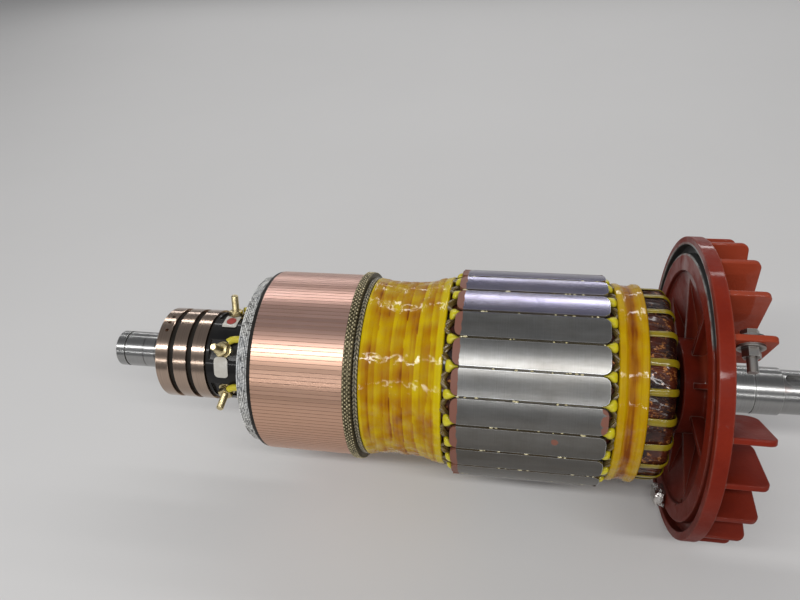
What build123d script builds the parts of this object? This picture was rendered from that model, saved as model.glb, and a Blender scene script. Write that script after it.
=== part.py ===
from build123d import *
import os
from math import cos, radians, sin

# Rotor of an AC commutator motor: slip rings, commutator, slotted core, end windings and fan.
# The shaft's axis is X. The slip rings are towards -X and the drive end is towards +X.
# The origin is on the axis, at the middle of the drive-end bearing journal.
# Angles are measured about X, from +Y towards +Z.

os.makedirs("parts", exist_ok=True)

# Clearances
seat_gap = 0.3           # radial, between a turned seat and what sits on it
bar_gap = 0.8            # between neighbouring commutator bars
slot_fit = 0.3           # each side of what lies in a slot

# Shaft, from the drive end
shaft_end_d = 60.0
shaft_end_length = 140.0
keyway_width = 18.0
keyway_depth = 7.0
keyway_length = 125.0
keyway_setback = 4.0
keyway_angle = 101.5
journal_d = 65.0
journal_length = 35.0
relief_width = 2.0
relief_depth = 0.8
neck_length = 34.5
fan_seat_d = 80.0
core_seat_d = 90.0
commutator_seat_d = 84.0
slip_seat_d = 64.0
slip_journal_d = 55.0
slip_journal_length = 87.0
circlip_groove_width = 3.0
circlip_groove_depth = 1.5
circlip_setback = 16.0
shaft_chamfer = 1.5
centre_hole_d = 12.0
centre_hole_depth = 14.0
centre_cone_d = 20.0
centre_cone_angle = 60.0

# Fan
fan_hub_d = 132.0
fan_hub_length = 63.0
blade_length = 48.0
blade_beyond_hub = 7.0
rim_d = 412.0
rim_width = 18.0
rim_lip = 11.0
balance_groove_width = 12.0
balance_groove_depth = 12.0
inner_lip = 24.0
dish_depth_at_rim = 6.0
dish_depth_at_hub = 27.0
web_thickness = 10.0
blade_positions = 22
blade_first_angle = 135.0
blade_thickness = 8.0
blade_outer_r = 204.0
blade_inner_r = 122.0
blade_outer_corner = 9.0
blade_inner_corner = 16.0
blade_root = 1.0
blade_nose = 2.0
dish_ribs = 9
dish_rib_thickness = 7.0
dish_rib_setback = 8.0
dish_rib_first_angle = 15.0
rib_bury = 1.0
rim_edge = 1.5
hub_root = 6.0
drilling_d = 10.0
drilling_depth = 14.0
drillings = ((157.0, 218.0), (140.0, 183.0))
blade_gap_positions = (0, 11)
balance_blade_position = 21
balance_bolt_d = 12.0
balance_bolt_length = 42.0
balance_bolt_inset = 19.0
balance_bolt_from_rim = 22.0
balance_bolt_clearance = 0.3
balance_hex = 21.0
balance_head_height = 7.5
balance_nut_height = 10.5
balance_washer_d = 31.0
balance_washer_thickness = 3.0
balance_weight_angle = 247.6
balance_weight_length = 34.0
balance_weight_height = 18.0
balance_weight_thickness = 14.0
winding_to_fan = 23.0

# Core and slots
core_d = 296.0
core_length = 194.0
slot_count = 24
slot_first_angle = -1.7
slot_opening = 3.4
slot_lip = 3.0
slot_width = 17.0
slot_depth = 40.0
wedge_thickness = 4.0
tooth_corner = 9.0
corner_turns = (0, 30, 60, 90)

# End windings and their bands
rear_overhang = 83.0
rear_winding_d = 262.0
rear_winding_depth = 33.0
rear_winding_round = 13.0
rear_band_start = 10.5
rear_band_length = 37.0
rear_band_thickness = 6.3
rear_band_ridge = 11.0
rear_band_valley = 3.0
rear_band_edge = 1.4
tie_width = 8.0
tie_thickness = 1.5
front_gap = 13.0
front_band_length = 112.0
front_band_left_thickness = 8.0
front_band_waist_thickness = 3.5
front_band_right_thickness = 14.5
front_band_edge = 3.0
front_winding_d = 248.0
front_winding_depth = 26.0
cuff_length = 9.0
cuff_width = 14.0
cuff_height = 12.0
cuff_edge = 2.0
support_wall = 8.0
rear_support_setback = 16.0
tie_setback = 3.0
tie_wrap = 25.0
tie_count = 22
tie_first_angle = 123.5
support_flange_length = 14.0

# Commutator
riser_ring_width = 7.0
riser_ring_d = 262.0
riser_width = 12.0
riser_d = 275.0
riser_slit_width = 1.2
riser_slit_depth = 4.0
bar_count = 144
bar_length = 129.0
commutator_d = 268.0
bar_depth = 46.0
vee_mouth_r = 116.0
vee_length = 24.0
vee_drop = 4.0
vee_tip = 4.0
vee_inner_r = 96.0
vee_lead = 3.2
clamp_setback = 2.0
cone_thickness = 2.0
groove_width = 6.0
band_width = 17.5
band_d = 251.0
hub_wall = 16.0

# Slip rings and terminals
band_to_terminals = 21.5
terminal_hub_length = 54.0
terminal_hub_d = 132.0
terminal_hub_flat = 62.0
terminal_hub_rim = 6.0
terminal_flat_width = 30.0
terminal_hub_edge = 2.0
lead_d = 7.0
lead_start = 9.5
lead_step = 17.5
lead_swing = 13.0
lead_bend = 8.0
lead_lift = 1.0
stud_count = 6
stud_first_angle = 9.5
stud_d = 8.0
stud_tip_r = 97.0
stud_seat_depth = 14.0
stud_point = 1.0
stud_nut_d = 15.2
stud_nut_height = 6.5
stud_washer_d = 17.0
stud_washer_thickness = 1.6
ring_count = 3
ring_d = 138.0
ring_bore_d = 106.0
ring_width = 20.0
ring_spacing = 9.0
ring_edge = 0.8
collar_d = 128.0
end_collar_width = 4.5
end_collar_d = 76.0

# Stations along the shaft
x_step = journal_length / 2
x_shaft_end = x_step + shaft_end_length
x_relief = -journal_length / 2
x_hub_right = x_relief - neck_length
x_hub_left = x_hub_right - fan_hub_length
x_rim_right = x_hub_right + blade_beyond_hub - blade_length
x_rim_left = x_rim_right - rim_width
x_rear_winding = x_rim_left - winding_to_fan
x_core_rear = x_rear_winding - rear_overhang
x_rear_band_left = x_core_rear + rear_band_start
x_rear_band_right = x_rear_band_left + rear_band_length
x_core_front = x_core_rear - core_length
x_front_band_right = x_core_front - front_gap
x_front_band_left = x_front_band_right - front_band_length
x_riser_right = x_front_band_left - riser_ring_width
x_bar_rear = x_riser_right - riser_width
x_bar_front = x_bar_rear - bar_length
x_band_right = x_bar_front - groove_width
x_band_left = x_band_right - band_width
x_terminals_right = x_band_left - band_to_terminals
x_terminals_left = x_terminals_right - terminal_hub_length
x_rings_left = x_terminals_left - ring_count * ring_width - (ring_count - 1) * ring_spacing
x_sleeve_left = x_rings_left - end_collar_width
x_shaft_left = x_sleeve_left - slip_journal_length

core_r = core_d / 2
slot_bottom_r = core_r - slot_depth
wedge_top_r = core_r - slot_lip - slot_fit
coil_top_r = wedge_top_r - wedge_thickness - slot_fit
cuff_seat_r = coil_top_r - cuff_height - seat_gap
strip_setback = tooth_corner + seat_gap
rear_winding_inner_d = rear_winding_d - 2 * rear_winding_depth
rear_band_d = rear_winding_d + 2 * rear_band_thickness
tie_inner_r = rear_winding_d / 2 - tie_wrap
front_winding_inner_d = front_winding_d - 2 * front_winding_depth
front_band_left_d = front_winding_d + 2 * front_band_left_thickness
front_band_waist_d = front_winding_d + 2 * front_band_waist_thickness
front_band_right_d = front_winding_d + 2 * front_band_right_thickness


def direction(angle):
    """Unit vector across the shaft at an angle about X."""
    return Vector(0, cos(radians(angle)), sin(radians(angle)))


def radial_plane(x, radius, angle):
    """Plane facing outwards at a radius, with its own x along the shaft."""
    out = direction(angle)
    return Plane(origin=Vector(x, 0, 0) + out * radius, x_dir=(1, 0, 0), z_dir=out)


def blade_plane(angle):
    """Plane through the axis at an angle, with x along the shaft and y outwards."""
    return Plane(
        origin=(0, 0, 0),
        x_dir=(1, 0, 0),
        z_dir=(0, -sin(radians(angle)), cos(radians(angle))),
    )


def around(count, first_angle):
    """Angles of evenly spaced copies about the shaft."""
    return [first_angle + 360 / count * i for i in range(count)]


def turned(label, points):
    """A ring or sleeve turned from its half section, given as (x, radius) points."""
    with BuildPart() as ring:
        with BuildSketch(Plane.XZ):
            with BuildLine():
                Polyline(*points, close=True)
            make_face()
        revolve(axis=Axis.X)
    ring.part.label = label
    return ring


# Shaft with its seats, keyway and grooves
shaft_steps = [
    (x_shaft_left, x_sleeve_left, slip_journal_d),
    (x_sleeve_left, x_terminals_right, slip_seat_d),
    (x_terminals_right, x_front_band_left, commutator_seat_d),
    (x_front_band_left, x_hub_left, core_seat_d),
    (x_hub_left, x_hub_right, fan_seat_d),
    (x_hub_right, x_step, journal_d),
    (x_step, x_shaft_end, shaft_end_d),
]
with BuildPart() as shaft:
    with BuildSketch(Plane.XZ):
        for x_from, x_to, diameter in shaft_steps:
            with Locations(((x_from + x_to) / 2, diameter / 4)):
                Rectangle(x_to - x_from, diameter / 2)
    revolve(axis=Axis.X)
    chamfer(shaft.faces().sort_by(Axis.X)[0].edges(), shaft_chamfer)
    chamfer(shaft.faces().sort_by(Axis.X)[-1].edges(), shaft_chamfer)
    with BuildSketch(Plane.XZ):
        with Locations((x_relief, journal_d / 2)):
            Rectangle(relief_width, 2 * relief_depth)
        with Locations((x_shaft_left + circlip_setback, slip_journal_d / 2)):
            Rectangle(circlip_groove_width, 2 * circlip_groove_depth)
    revolve(axis=Axis.X, mode=Mode.SUBTRACT)
    for x_end, way in ((x_shaft_left, -1), (x_shaft_end, 1)):
        with Locations(Plane(origin=(x_end, 0, 0), z_dir=(way, 0, 0))):
            CounterSinkHole(centre_hole_d / 2, centre_cone_d / 2, centre_hole_depth, centre_cone_angle)
    keyway_x = x_step + keyway_setback + keyway_length / 2
    with BuildSketch(radial_plane(keyway_x, shaft_end_d / 2 - keyway_depth, keyway_angle)):
        SlotOverall(keyway_length, keyway_width)
    extrude(amount=2 * keyway_depth, mode=Mode.SUBTRACT)
shaft.part.label = "shaft"

# Insulating sleeve with a collar at the end and between the slip rings
sleeve_points = [
    (x_sleeve_left, slip_seat_d / 2 + seat_gap),
    (x_sleeve_left, end_collar_d / 2),
    (x_rings_left, end_collar_d / 2),
]
for i in range(ring_count):
    ring_left = x_rings_left + i * (ring_width + ring_spacing)
    ring_right = ring_left + ring_width
    seat_r = ring_bore_d / 2 - seat_gap
    sleeve_points += [(ring_left, seat_r), (ring_right, seat_r)]
    if i < ring_count - 1:
        collar_r = collar_d / 2
        sleeve_points += [(ring_right, collar_r), (ring_right + ring_spacing, collar_r)]
sleeve_points.append((x_terminals_left, slip_seat_d / 2 + seat_gap))
slip_ring_sleeve = turned("slip_ring_sleeve", sleeve_points)

slip_rings = []
for i in range(ring_count):
    ring_left = x_rings_left + i * (ring_width + ring_spacing)
    with BuildPart() as slip_ring:
        with BuildSketch(Plane.YZ.offset(ring_left)):
            Circle(ring_d / 2)
            Circle(ring_bore_d / 2, mode=Mode.SUBTRACT)
        extrude(amount=ring_width)
    chamfer(slip_ring.edges().filter_by(GeomType.CIRCLE).group_by(SortBy.RADIUS)[-1], ring_edge)
    slip_ring.part.label = f"slip_ring_{i + 1}"
    slip_rings.append(slip_ring)

# Moulded hub with a flat under each stud
stud_x = (x_terminals_left + x_terminals_right) / 2
stud_angles = around(stud_count, stud_first_angle)
with BuildPart() as terminal_hub:
    with BuildSketch(Plane.YZ.offset(x_terminals_left)):
        Circle(terminal_hub_d / 2)
        Circle(slip_seat_d / 2 + seat_gap, mode=Mode.SUBTRACT)
    extrude(amount=terminal_hub_length)
    fillet(terminal_hub.edges().filter_by(GeomType.CIRCLE).group_by(SortBy.RADIUS)[-1], terminal_hub_edge)
    flat_length = terminal_hub_length - terminal_hub_rim
    for angle in stud_angles:
        flat_x = x_terminals_right - flat_length / 2
        with BuildSketch(radial_plane(flat_x, terminal_hub_flat, angle)):
            Rectangle(flat_length, terminal_flat_width)
        extrude(amount=terminal_hub_d, mode=Mode.SUBTRACT)
        with BuildSketch(radial_plane(stud_x, terminal_hub_flat, angle)):
            Circle(stud_d / 2 + seat_gap)
        extrude(amount=-stud_seat_depth, mode=Mode.SUBTRACT)
terminal_hub.part.label = "terminal_hub"

stud_nut_r = terminal_hub_flat + stud_washer_thickness
studs = []
stud_washers = []
for i, angle in enumerate(stud_angles):
    with BuildPart() as stud:
        with BuildSketch(radial_plane(stud_x, terminal_hub_flat - stud_seat_depth, angle)):
            Circle(stud_d / 2)
        extrude(amount=stud_tip_r - terminal_hub_flat + stud_seat_depth)
        with BuildSketch(radial_plane(stud_x, stud_nut_r, angle)):
            RegularPolygon(stud_nut_d / 2, 6)
        extrude(amount=stud_nut_height)
        chamfer(stud.faces().sort_by(lambda f: f.center().dot(direction(angle)))[-1].edges(), stud_point)
    stud.part.label = f"terminal_stud_{i + 1}"
    studs.append(stud)
    with BuildPart() as stud_washer:
        with BuildSketch(radial_plane(stud_x, terminal_hub_flat, angle)):
            Circle(stud_washer_d / 2)
            Circle(stud_d / 2 + seat_gap, mode=Mode.SUBTRACT)
        extrude(amount=stud_washer_thickness)
    stud_washers.append(stud_washer.part)
terminal_washers = Compound(children=stud_washers, label="terminal_washers")

# Sleeved leads that swing off the flats and run on to the commutator's clamp ring
x_clamp_left = x_band_left + clamp_setback
lead_r = terminal_hub_d / 2 + lead_lift + lead_d / 2
flat_lead_r = terminal_hub_flat + seat_gap + lead_d / 2
leads = []
for angle in stud_angles:
    beside_nut = direction(angle) * flat_lead_r - direction(angle + 90) * lead_start
    swung = direction(angle - lead_swing) * lead_r
    with BuildPart() as lead:
        with BuildLine() as lead_path:
            FilletPolyline(
                Vector(stud_x + lead_start, 0, 0) + beside_nut,
                Vector(stud_x + lead_step, 0, 0) + swung,
                Vector(x_clamp_left, 0, 0) + swung,
                radius=lead_bend,
            )
        with BuildSketch(Plane(origin=lead_path.line @ 0, z_dir=lead_path.line % 0)):
            Circle(lead_d / 2)
        sweep(path=lead_path.line)
    leads.append(lead.part)
terminal_leads = Compound(children=leads, label="terminal_leads")


def vee_line(shrink):
    """Outline of the vee groove in a bar's end, moved inwards by a clearance.

    Distances are from the bar's end into the bar, with the radius at each."""
    top_slope = vee_drop / vee_length
    low_slope = (vee_mouth_r - vee_drop - vee_tip - vee_inner_r) / (vee_length - vee_lead)
    tip = vee_length - shrink
    top = vee_mouth_r - shrink * (1 + top_slope**2) ** 0.5
    low = vee_inner_r + shrink * (1 + low_slope**2) ** 0.5
    return [
        (0, top),
        (tip, top - top_slope * tip),
        (tip, low + low_slope * (tip - vee_lead)),
        (0, low - low_slope * vee_lead),
    ]


def at_end(points, end, way):
    """Move groove distances to a bar's end; way is +1 at the front and -1 at the rear."""
    return [(end + way * along, radius) for along, radius in points]


# Copper bars: one dovetailed bar, repeated about the shaft
bar_inner_r = commutator_d / 2 - bar_depth
vee = vee_line(0)
groove_front = at_end(vee[:3], x_bar_front, 1)
groove_rear = at_end(vee[:3], x_bar_rear, -1)
bar_points = [
    *groove_front,
    (x_bar_front + vee_lead, vee_inner_r),
    (x_bar_front + vee_lead, bar_inner_r),
    (x_bar_rear - vee_lead, bar_inner_r),
    (x_bar_rear - vee_lead, vee_inner_r),
    *reversed(groove_rear),
    (x_bar_rear, commutator_d / 2),
    (x_bar_front, commutator_d / 2),
]
bar_pitch = 360 / bar_count
with BuildPart() as bar:
    with BuildSketch(Plane.XZ):
        with BuildLine():
            Polyline(*bar_points, close=True)
        make_face()
    revolve(axis=Axis.X, revolution_arc=bar_pitch)
    near_side = Plane(origin=(0, -bar_gap / 2, 0), z_dir=(0, -1, 0))
    split(bisect_by=near_side, keep=Keep.TOP)
    far_side = Plane.XZ.rotated((bar_pitch, 0, 0)).offset(-bar_gap / 2)
    split(bisect_by=far_side, keep=Keep.BOTTOM)
bars = [bar.part.rotate(Axis.X, bar_pitch * i) for i in range(bar_count)]
commutator_segments = Compound(children=bars, label="commutator_segments")

# Insulating cones between the bars and the steel
cone_outside = vee_line(seat_gap)
cone_inside = vee_line(seat_gap + cone_thickness)
cone_front_points = [
    (x_band_left, cone_outside[0][1]),
    *at_end(cone_outside, x_bar_front, 1),
    *at_end(reversed(cone_inside), x_bar_front, 1),
    (x_band_left, cone_inside[0][1]),
]
commutator_cone_front = turned("commutator_cone_front", cone_front_points)
cone_rear_points = [
    (x_riser_right, cone_outside[0][1]),
    *at_end(cone_outside, x_bar_rear, -1),
    *at_end(reversed(cone_inside), x_bar_rear, -1),
    (x_riser_right, cone_inside[0][1]),
]
commutator_cone_rear = turned("commutator_cone_rear", cone_rear_points)

# Steel hub with the rear vee ring, and the clamp ring at the front
steel = vee_line(2 * seat_gap + cone_thickness)
hub_bore_r = commutator_seat_d / 2 + seat_gap
hub_outer_r = hub_bore_r + hub_wall
commutator_hub_points = [
    (x_band_left, hub_bore_r),
    (x_band_left, hub_outer_r),
    (x_bar_rear, hub_outer_r),
    *at_end(reversed(steel), x_bar_rear, -1),
    (x_riser_right, steel[0][1]),
    (x_riser_right, hub_bore_r),
]
commutator_hub = turned("commutator_hub", commutator_hub_points)
clamp_points = [
    (x_clamp_left, hub_outer_r + seat_gap),
    (x_clamp_left, steel[0][1]),
    *at_end(steel, x_bar_front, 1),
    (x_bar_front, hub_outer_r + seat_gap),
]
commutator_clamp_ring = turned("commutator_clamp_ring", clamp_points)

band_points = [
    (x_band_left, vee_mouth_r),
    (x_band_left, band_d / 2),
    (x_band_right, band_d / 2),
    (x_band_right, vee_mouth_r),
]
commutator_band = turned("commutator_band", band_points)

# Risers behind the bars and the dark ring behind them
with BuildPart() as commutator_risers:
    with BuildSketch(Plane.YZ.offset(x_bar_rear)):
        Circle(riser_d / 2)
        Circle(vee_mouth_r, mode=Mode.SUBTRACT)
        with PolarLocations(riser_d / 2, bar_count):
            Rectangle(2 * riser_slit_depth, riser_slit_width, mode=Mode.SUBTRACT)
    extrude(amount=riser_width)
commutator_risers.part.label = "commutator_risers"
riser_ring_points = [
    (x_riser_right, front_winding_inner_d / 2),
    (x_riser_right, riser_ring_d / 2),
    (x_front_band_left, riser_ring_d / 2),
    (x_front_band_left, front_winding_inner_d / 2),
]
riser_ring = turned("riser_ring", riser_ring_points)

# Core with open-mouthed slots, and tooth corners taken off in facets at both faces
slot_angles = around(slot_count, slot_first_angle)
mouth_half = slot_opening / 2 + tooth_corner
corner_line = [
    (tooth_corner * (1 - cos(radians(turn))), mouth_half - tooth_corner * sin(radians(turn)))
    for turn in corner_turns
]
corner_cuts = []
for x_face, inwards in ((x_core_front, 1), (x_core_rear, -1)):
    with BuildPart() as corner_cut:
        with BuildSketch(radial_plane(x_face, cuff_seat_r, slot_first_angle)):
            with BuildLine():
                Polyline(
                    *[(inwards * along, across) for along, across in corner_line],
                    *[(inwards * along, -across) for along, across in reversed(corner_line)],
                    close=True,
                )
            make_face()
        extrude(amount=core_r)
    corner_cuts += [
        corner_cut.part.rotate(Axis.X, 360 / slot_count * i)
        for i in range(slot_count)
    ]
with BuildPart() as core_laminations:
    with BuildSketch(Plane.YZ.offset(x_core_front)):
        Circle(core_r)
        Circle(core_seat_d / 2 + seat_gap, mode=Mode.SUBTRACT)
        with PolarLocations((core_r + slot_bottom_r - slot_lip) / 2, slot_count, slot_first_angle):
            Rectangle(slot_depth - slot_lip, slot_width, mode=Mode.SUBTRACT)
        with PolarLocations(core_r, slot_count, slot_first_angle):
            Rectangle(slot_depth, slot_opening, mode=Mode.SUBTRACT)
    extrude(amount=core_length)
    add(corner_cuts, mode=Mode.SUBTRACT)
core_laminations.part.label = "core_laminations"


def in_every_slot(label, points, width):
    """One strip in every slot, from its (x, radius) outline and its width across the slot."""
    strips = []
    for angle in slot_angles:
        with BuildPart() as strip:
            with BuildSketch(blade_plane(angle)):
                with BuildLine():
                    Polyline(*points, close=True)
                make_face()
            extrude(amount=width / 2, both=True)
        strips.append(strip.part)
    return Compound(children=strips, label=label)


def cuffs(label, x_from, x_to):
    """Slot liners folded over the coils, where they stand out of the core."""
    copies = []
    for angle in slot_angles:
        with BuildPart() as cuff:
            with BuildSketch(radial_plane((x_from + x_to) / 2, cuff_seat_r + seat_gap, angle)):
                Rectangle(x_to - x_from, cuff_width)
            extrude(amount=cuff_height)
            top = cuff.faces().sort_by(lambda f: f.center().dot(direction(angle)))[-1]
            fillet(top.edges().filter_by(Axis.X), cuff_edge)
        copies.append(cuff.part)
    return Compound(children=copies, label=label)


strip_width = slot_width - 2 * slot_fit
x_strip_front = x_core_front + strip_setback
x_strip_rear = x_core_rear - strip_setback
wedge_points = [
    (x_strip_front, coil_top_r + slot_fit),
    (x_strip_front, wedge_top_r),
    (x_strip_rear, wedge_top_r),
    (x_strip_rear, coil_top_r + slot_fit),
]
slot_wedges = in_every_slot("slot_wedges", wedge_points, strip_width)
coil_points = [
    (x_core_front, slot_bottom_r + slot_fit),
    (x_core_front, cuff_seat_r),
    (x_strip_front, cuff_seat_r),
    (x_strip_front, coil_top_r),
    (x_strip_rear, coil_top_r),
    (x_strip_rear, cuff_seat_r),
    (x_core_rear, cuff_seat_r),
    (x_core_rear, slot_bottom_r + slot_fit),
]
slot_coils = in_every_slot("slot_coils", coil_points, strip_width)
slot_liners_front = cuffs("slot_liners_front", x_core_front - cuff_length, x_strip_front - seat_gap)
slot_liners_rear = cuffs("slot_liners_rear", x_strip_rear + seat_gap, x_core_rear + cuff_length)

# Flanges that clamp the core and carry the end windings
support_r = front_winding_inner_d / 2 - seat_gap
rear_support_r = rear_winding_inner_d / 2 - seat_gap
for_front = [
    (x_core_front, core_seat_d / 2 + seat_gap),
    (x_core_front, support_r),
    (x_front_band_left, support_r),
    (x_front_band_left, support_r - support_wall),
    (x_core_front - support_flange_length, support_r - support_wall),
    (x_core_front - support_flange_length, core_seat_d / 2 + seat_gap),
]
coil_support_front = turned("coil_support_front", for_front)
for_rear = [
    (x_core_rear, core_seat_d / 2 + seat_gap),
    (x_core_rear, rear_support_r),
    (x_rear_winding - rear_support_setback, rear_support_r),
    (x_rear_winding - rear_support_setback, rear_support_r - support_wall),
    (x_core_rear + support_flange_length, rear_support_r - support_wall),
    (x_core_rear + support_flange_length, core_seat_d / 2 + seat_gap),
]
coil_support_rear = turned("coil_support_rear", for_rear)

# Front end winding and its waisted banding
front_winding_points = [
    (x_front_band_left, front_winding_inner_d / 2),
    (x_front_band_left, front_winding_d / 2),
    (x_front_band_right, front_winding_d / 2),
    (x_front_band_right, cuff_seat_r),
    (x_core_front, cuff_seat_r),
    (x_core_front, front_winding_inner_d / 2),
]
front_winding = turned("front_winding", front_winding_points)
with BuildPart() as front_banding:
    with BuildSketch(Plane.XZ) as band_section:
        with BuildLine():
            band_inner_r = front_winding_d / 2 + seat_gap
            left_top = (x_front_band_left, front_band_left_d / 2)
            right_top = (x_front_band_right, front_band_right_d / 2)
            waist_x = (x_front_band_left + x_front_band_right) / 2
            ThreePointArc(left_top, (waist_x, front_band_waist_d / 2), right_top)
            Polyline(
                right_top,
                (x_front_band_right, band_inner_r),
                (x_front_band_left, band_inner_r),
                left_top,
            )
        make_face()
        band_tops = band_section.vertices().filter_by(lambda v: v.Y > band_inner_r + front_band_edge)
        fillet(band_tops, front_band_edge)
    revolve(axis=Axis.X)
front_banding.part.label = "front_banding"

# Rear end winding with rounded ends
with BuildSketch(Plane.XZ) as rear_winding_section:
    with BuildLine():
        Polyline(
            (x_core_rear, rear_winding_inner_d / 2),
            (x_core_rear, cuff_seat_r),
            (x_rear_band_left, cuff_seat_r),
            (x_rear_band_left, rear_winding_d / 2),
            (x_rear_winding, rear_winding_d / 2),
            (x_rear_winding, rear_winding_inner_d / 2),
            close=True,
        )
    make_face()
    fillet(rear_winding_section.vertices().group_by(Axis.X)[-1], rear_winding_round)
with BuildPart() as rear_winding:
    add(rear_winding_section)
    revolve(axis=Axis.X)
rear_winding.part.label = "rear_winding"

with BuildPart() as rear_banding:
    with BuildSketch(Plane.XZ) as rear_band_section:
        with BuildLine():
            inner_r = rear_winding_d / 2 + seat_gap
            crown_r = rear_band_d / 2
            valley_r = crown_r - rear_band_valley
            Polyline(
                (x_rear_band_left, inner_r),
                (x_rear_band_left, crown_r),
                (x_rear_band_left + rear_band_ridge, crown_r),
                (x_rear_band_left + rear_band_ridge, valley_r),
                (x_rear_band_right - rear_band_ridge, valley_r),
                (x_rear_band_right - rear_band_ridge, crown_r),
                (x_rear_band_right, crown_r),
                (x_rear_band_right, inner_r),
                close=True,
            )
        make_face()
        rear_tops = rear_band_section.vertices().filter_by(lambda v: v.Y > inner_r + rear_band_edge)
        fillet(rear_tops, rear_band_edge)
    revolve(axis=Axis.X)
rear_banding.part.label = "rear_banding"

# Tape ties over the rounded end of the winding
x_tie_start = x_rear_band_right + tie_setback
tie_reach = rear_overhang + tie_thickness
with BuildPart() as winding_ties:
    with BuildSketch(Plane.XZ):
        add(rear_winding_section)
        offset(amount=seat_gap + tie_thickness)
        under_tie = offset(rear_winding_section.face(), amount=seat_gap, mode=Mode.PRIVATE)
        add(under_tie, mode=Mode.SUBTRACT)
        with Locations((x_tie_start, tie_inner_r)):
            Rectangle(tie_reach, rear_winding_d, align=(Align.MIN, Align.MIN), mode=Mode.INTERSECT)
    revolve(axis=Axis.X)
    with BuildSketch(Plane.YZ.offset(x_tie_start)):
        with PolarLocations(rear_winding_d / 2, tie_count, tie_first_angle):
            Rectangle(rear_winding_d / 2, tie_width)
    extrude(amount=tie_reach, mode=Mode.INTERSECT)
winding_ties.part.label = "winding_ties"

# Fan: hub, dished web, grooved rim, ribs and blades in one casting
hub_r = fan_hub_d / 2
rim_r = rim_d / 2
groove_out_r = rim_r - rim_lip
groove_in_r = groove_out_r - balance_groove_width
dish_r = groove_in_r - inner_lip
x_dish_rim = x_rim_left + dish_depth_at_rim
x_dish_hub = x_rim_left + dish_depth_at_hub
x_groove = x_rim_left + balance_groove_depth
fan_bore_r = fan_seat_d / 2 + seat_gap
blade_angle_step = 360 / blade_positions
blade_angles = [
    blade_first_angle + blade_angle_step * i
    for i in range(blade_positions)
    if i not in blade_gap_positions
]


# One blade with a rounded nose, copied to every position but the gaps
with BuildPart() as blade:
    with BuildSketch(blade_plane(0)) as blade_section:
        with Locations((x_rim_right - blade_root, (blade_inner_r + blade_outer_r) / 2)):
            Rectangle(
                blade_length + blade_root,
                blade_outer_r - blade_inner_r,
                align=(Align.MIN, Align.CENTER),
            )
        tip_corners = blade_section.vertices().group_by(Axis.X)[-1].sort_by(Axis.Y)
        fillet(tip_corners[0], blade_inner_corner)
        fillet(blade_section.vertices().sort_by(Axis.Y)[-2:].sort_by(Axis.X)[-1], blade_outer_corner)
    extrude(amount=blade_thickness / 2, both=True)
    sides = blade.faces().filter_by(Axis.Z)
    nose = [
        edge
        for edge in sides.edges()
        if edge.center().X > x_rim_right + blade_nose
    ]
    fillet(nose, blade_nose)
blades = [blade.part.rotate(Axis.X, angle) for angle in blade_angles]

bolt_angle = blade_first_angle + blade_angle_step * balance_blade_position
bolt_place = (x_rim_right + balance_bolt_from_rim, blade_outer_r - balance_bolt_inset)
with BuildPart() as fan:
    with BuildSketch(Plane.XZ) as fan_section:
        with BuildLine():
            Polyline(
                (x_hub_left, fan_bore_r),
                (x_hub_left, hub_r),
                (x_dish_hub, hub_r),
                (x_dish_rim, dish_r),
                (x_rim_left, dish_r),
                (x_rim_left, groove_in_r),
                (x_groove, groove_in_r),
                (x_groove, groove_out_r),
                (x_rim_left, groove_out_r),
                (x_rim_left, rim_r),
                (x_rim_right, rim_r),
                (x_rim_right, dish_r),
                (x_dish_hub + web_thickness, hub_r),
                (x_hub_right, hub_r),
                (x_hub_right, fan_bore_r),
                close=True,
            )
        make_face()
        rim_corners = fan_section.vertices().filter_by(lambda v: v.Y > dish_r - rim_edge)
        fillet(rim_corners, rim_edge)
        hub_ring = fan_section.vertices().filter_by(lambda v: abs(v.Y - hub_r) < rim_edge).sort_by(Axis.X)
        fillet(hub_ring[1:3], hub_root)
        hub_ends = fan_section.vertices().filter_by(lambda v: abs(v.Y - hub_r) < rim_edge).sort_by(Axis.X)
        fillet([hub_ends[0], hub_ends[-1]], rim_edge)
    revolve(axis=Axis.X)
    for angle in around(dish_ribs, dish_rib_first_angle):
        with BuildSketch(blade_plane(angle)):
            with BuildLine():
                rib_x = x_rim_left + dish_rib_setback
                Polyline(
                    (rib_x, hub_r - rib_bury),
                    (rib_x, dish_r + rib_bury),
                    (x_dish_rim + web_thickness / 2, dish_r + rib_bury),
                    (x_dish_hub + web_thickness / 2, hub_r - rib_bury),
                    close=True,
                )
            make_face()
        extrude(amount=dish_rib_thickness / 2, both=True)
    add(blades)
    with BuildSketch(blade_plane(bolt_angle)):
        with Locations(bolt_place):
            Circle(balance_bolt_d / 2 + balance_bolt_clearance)
    extrude(amount=blade_thickness, both=True, mode=Mode.SUBTRACT)
    with BuildSketch(Plane.YZ.offset(x_rim_left)):
        for drilling_r, angle in drillings:
            with PolarLocations(drilling_r, 1, angle):
                Circle(drilling_d / 2)
    extrude(amount=drilling_depth, mode=Mode.SUBTRACT)
fan.part.label = "fan"

# Balancing bolt through one blade, and a weight on the land inside the groove
blade_side = blade_thickness / 2
under_head = blade_side + balance_washer_thickness
with BuildPart() as balance_bolt:
    with BuildSketch(blade_plane(bolt_angle).offset(-under_head)):
        with Locations(bolt_place):
            RegularPolygon(balance_hex / 2, 6)
    extrude(amount=-balance_head_height)
    with BuildSketch(blade_plane(bolt_angle).offset(-under_head)):
        with Locations(bolt_place):
            Circle(balance_bolt_d / 2)
    extrude(amount=balance_bolt_length)
balance_bolt.part.label = "balance_bolt"

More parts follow.
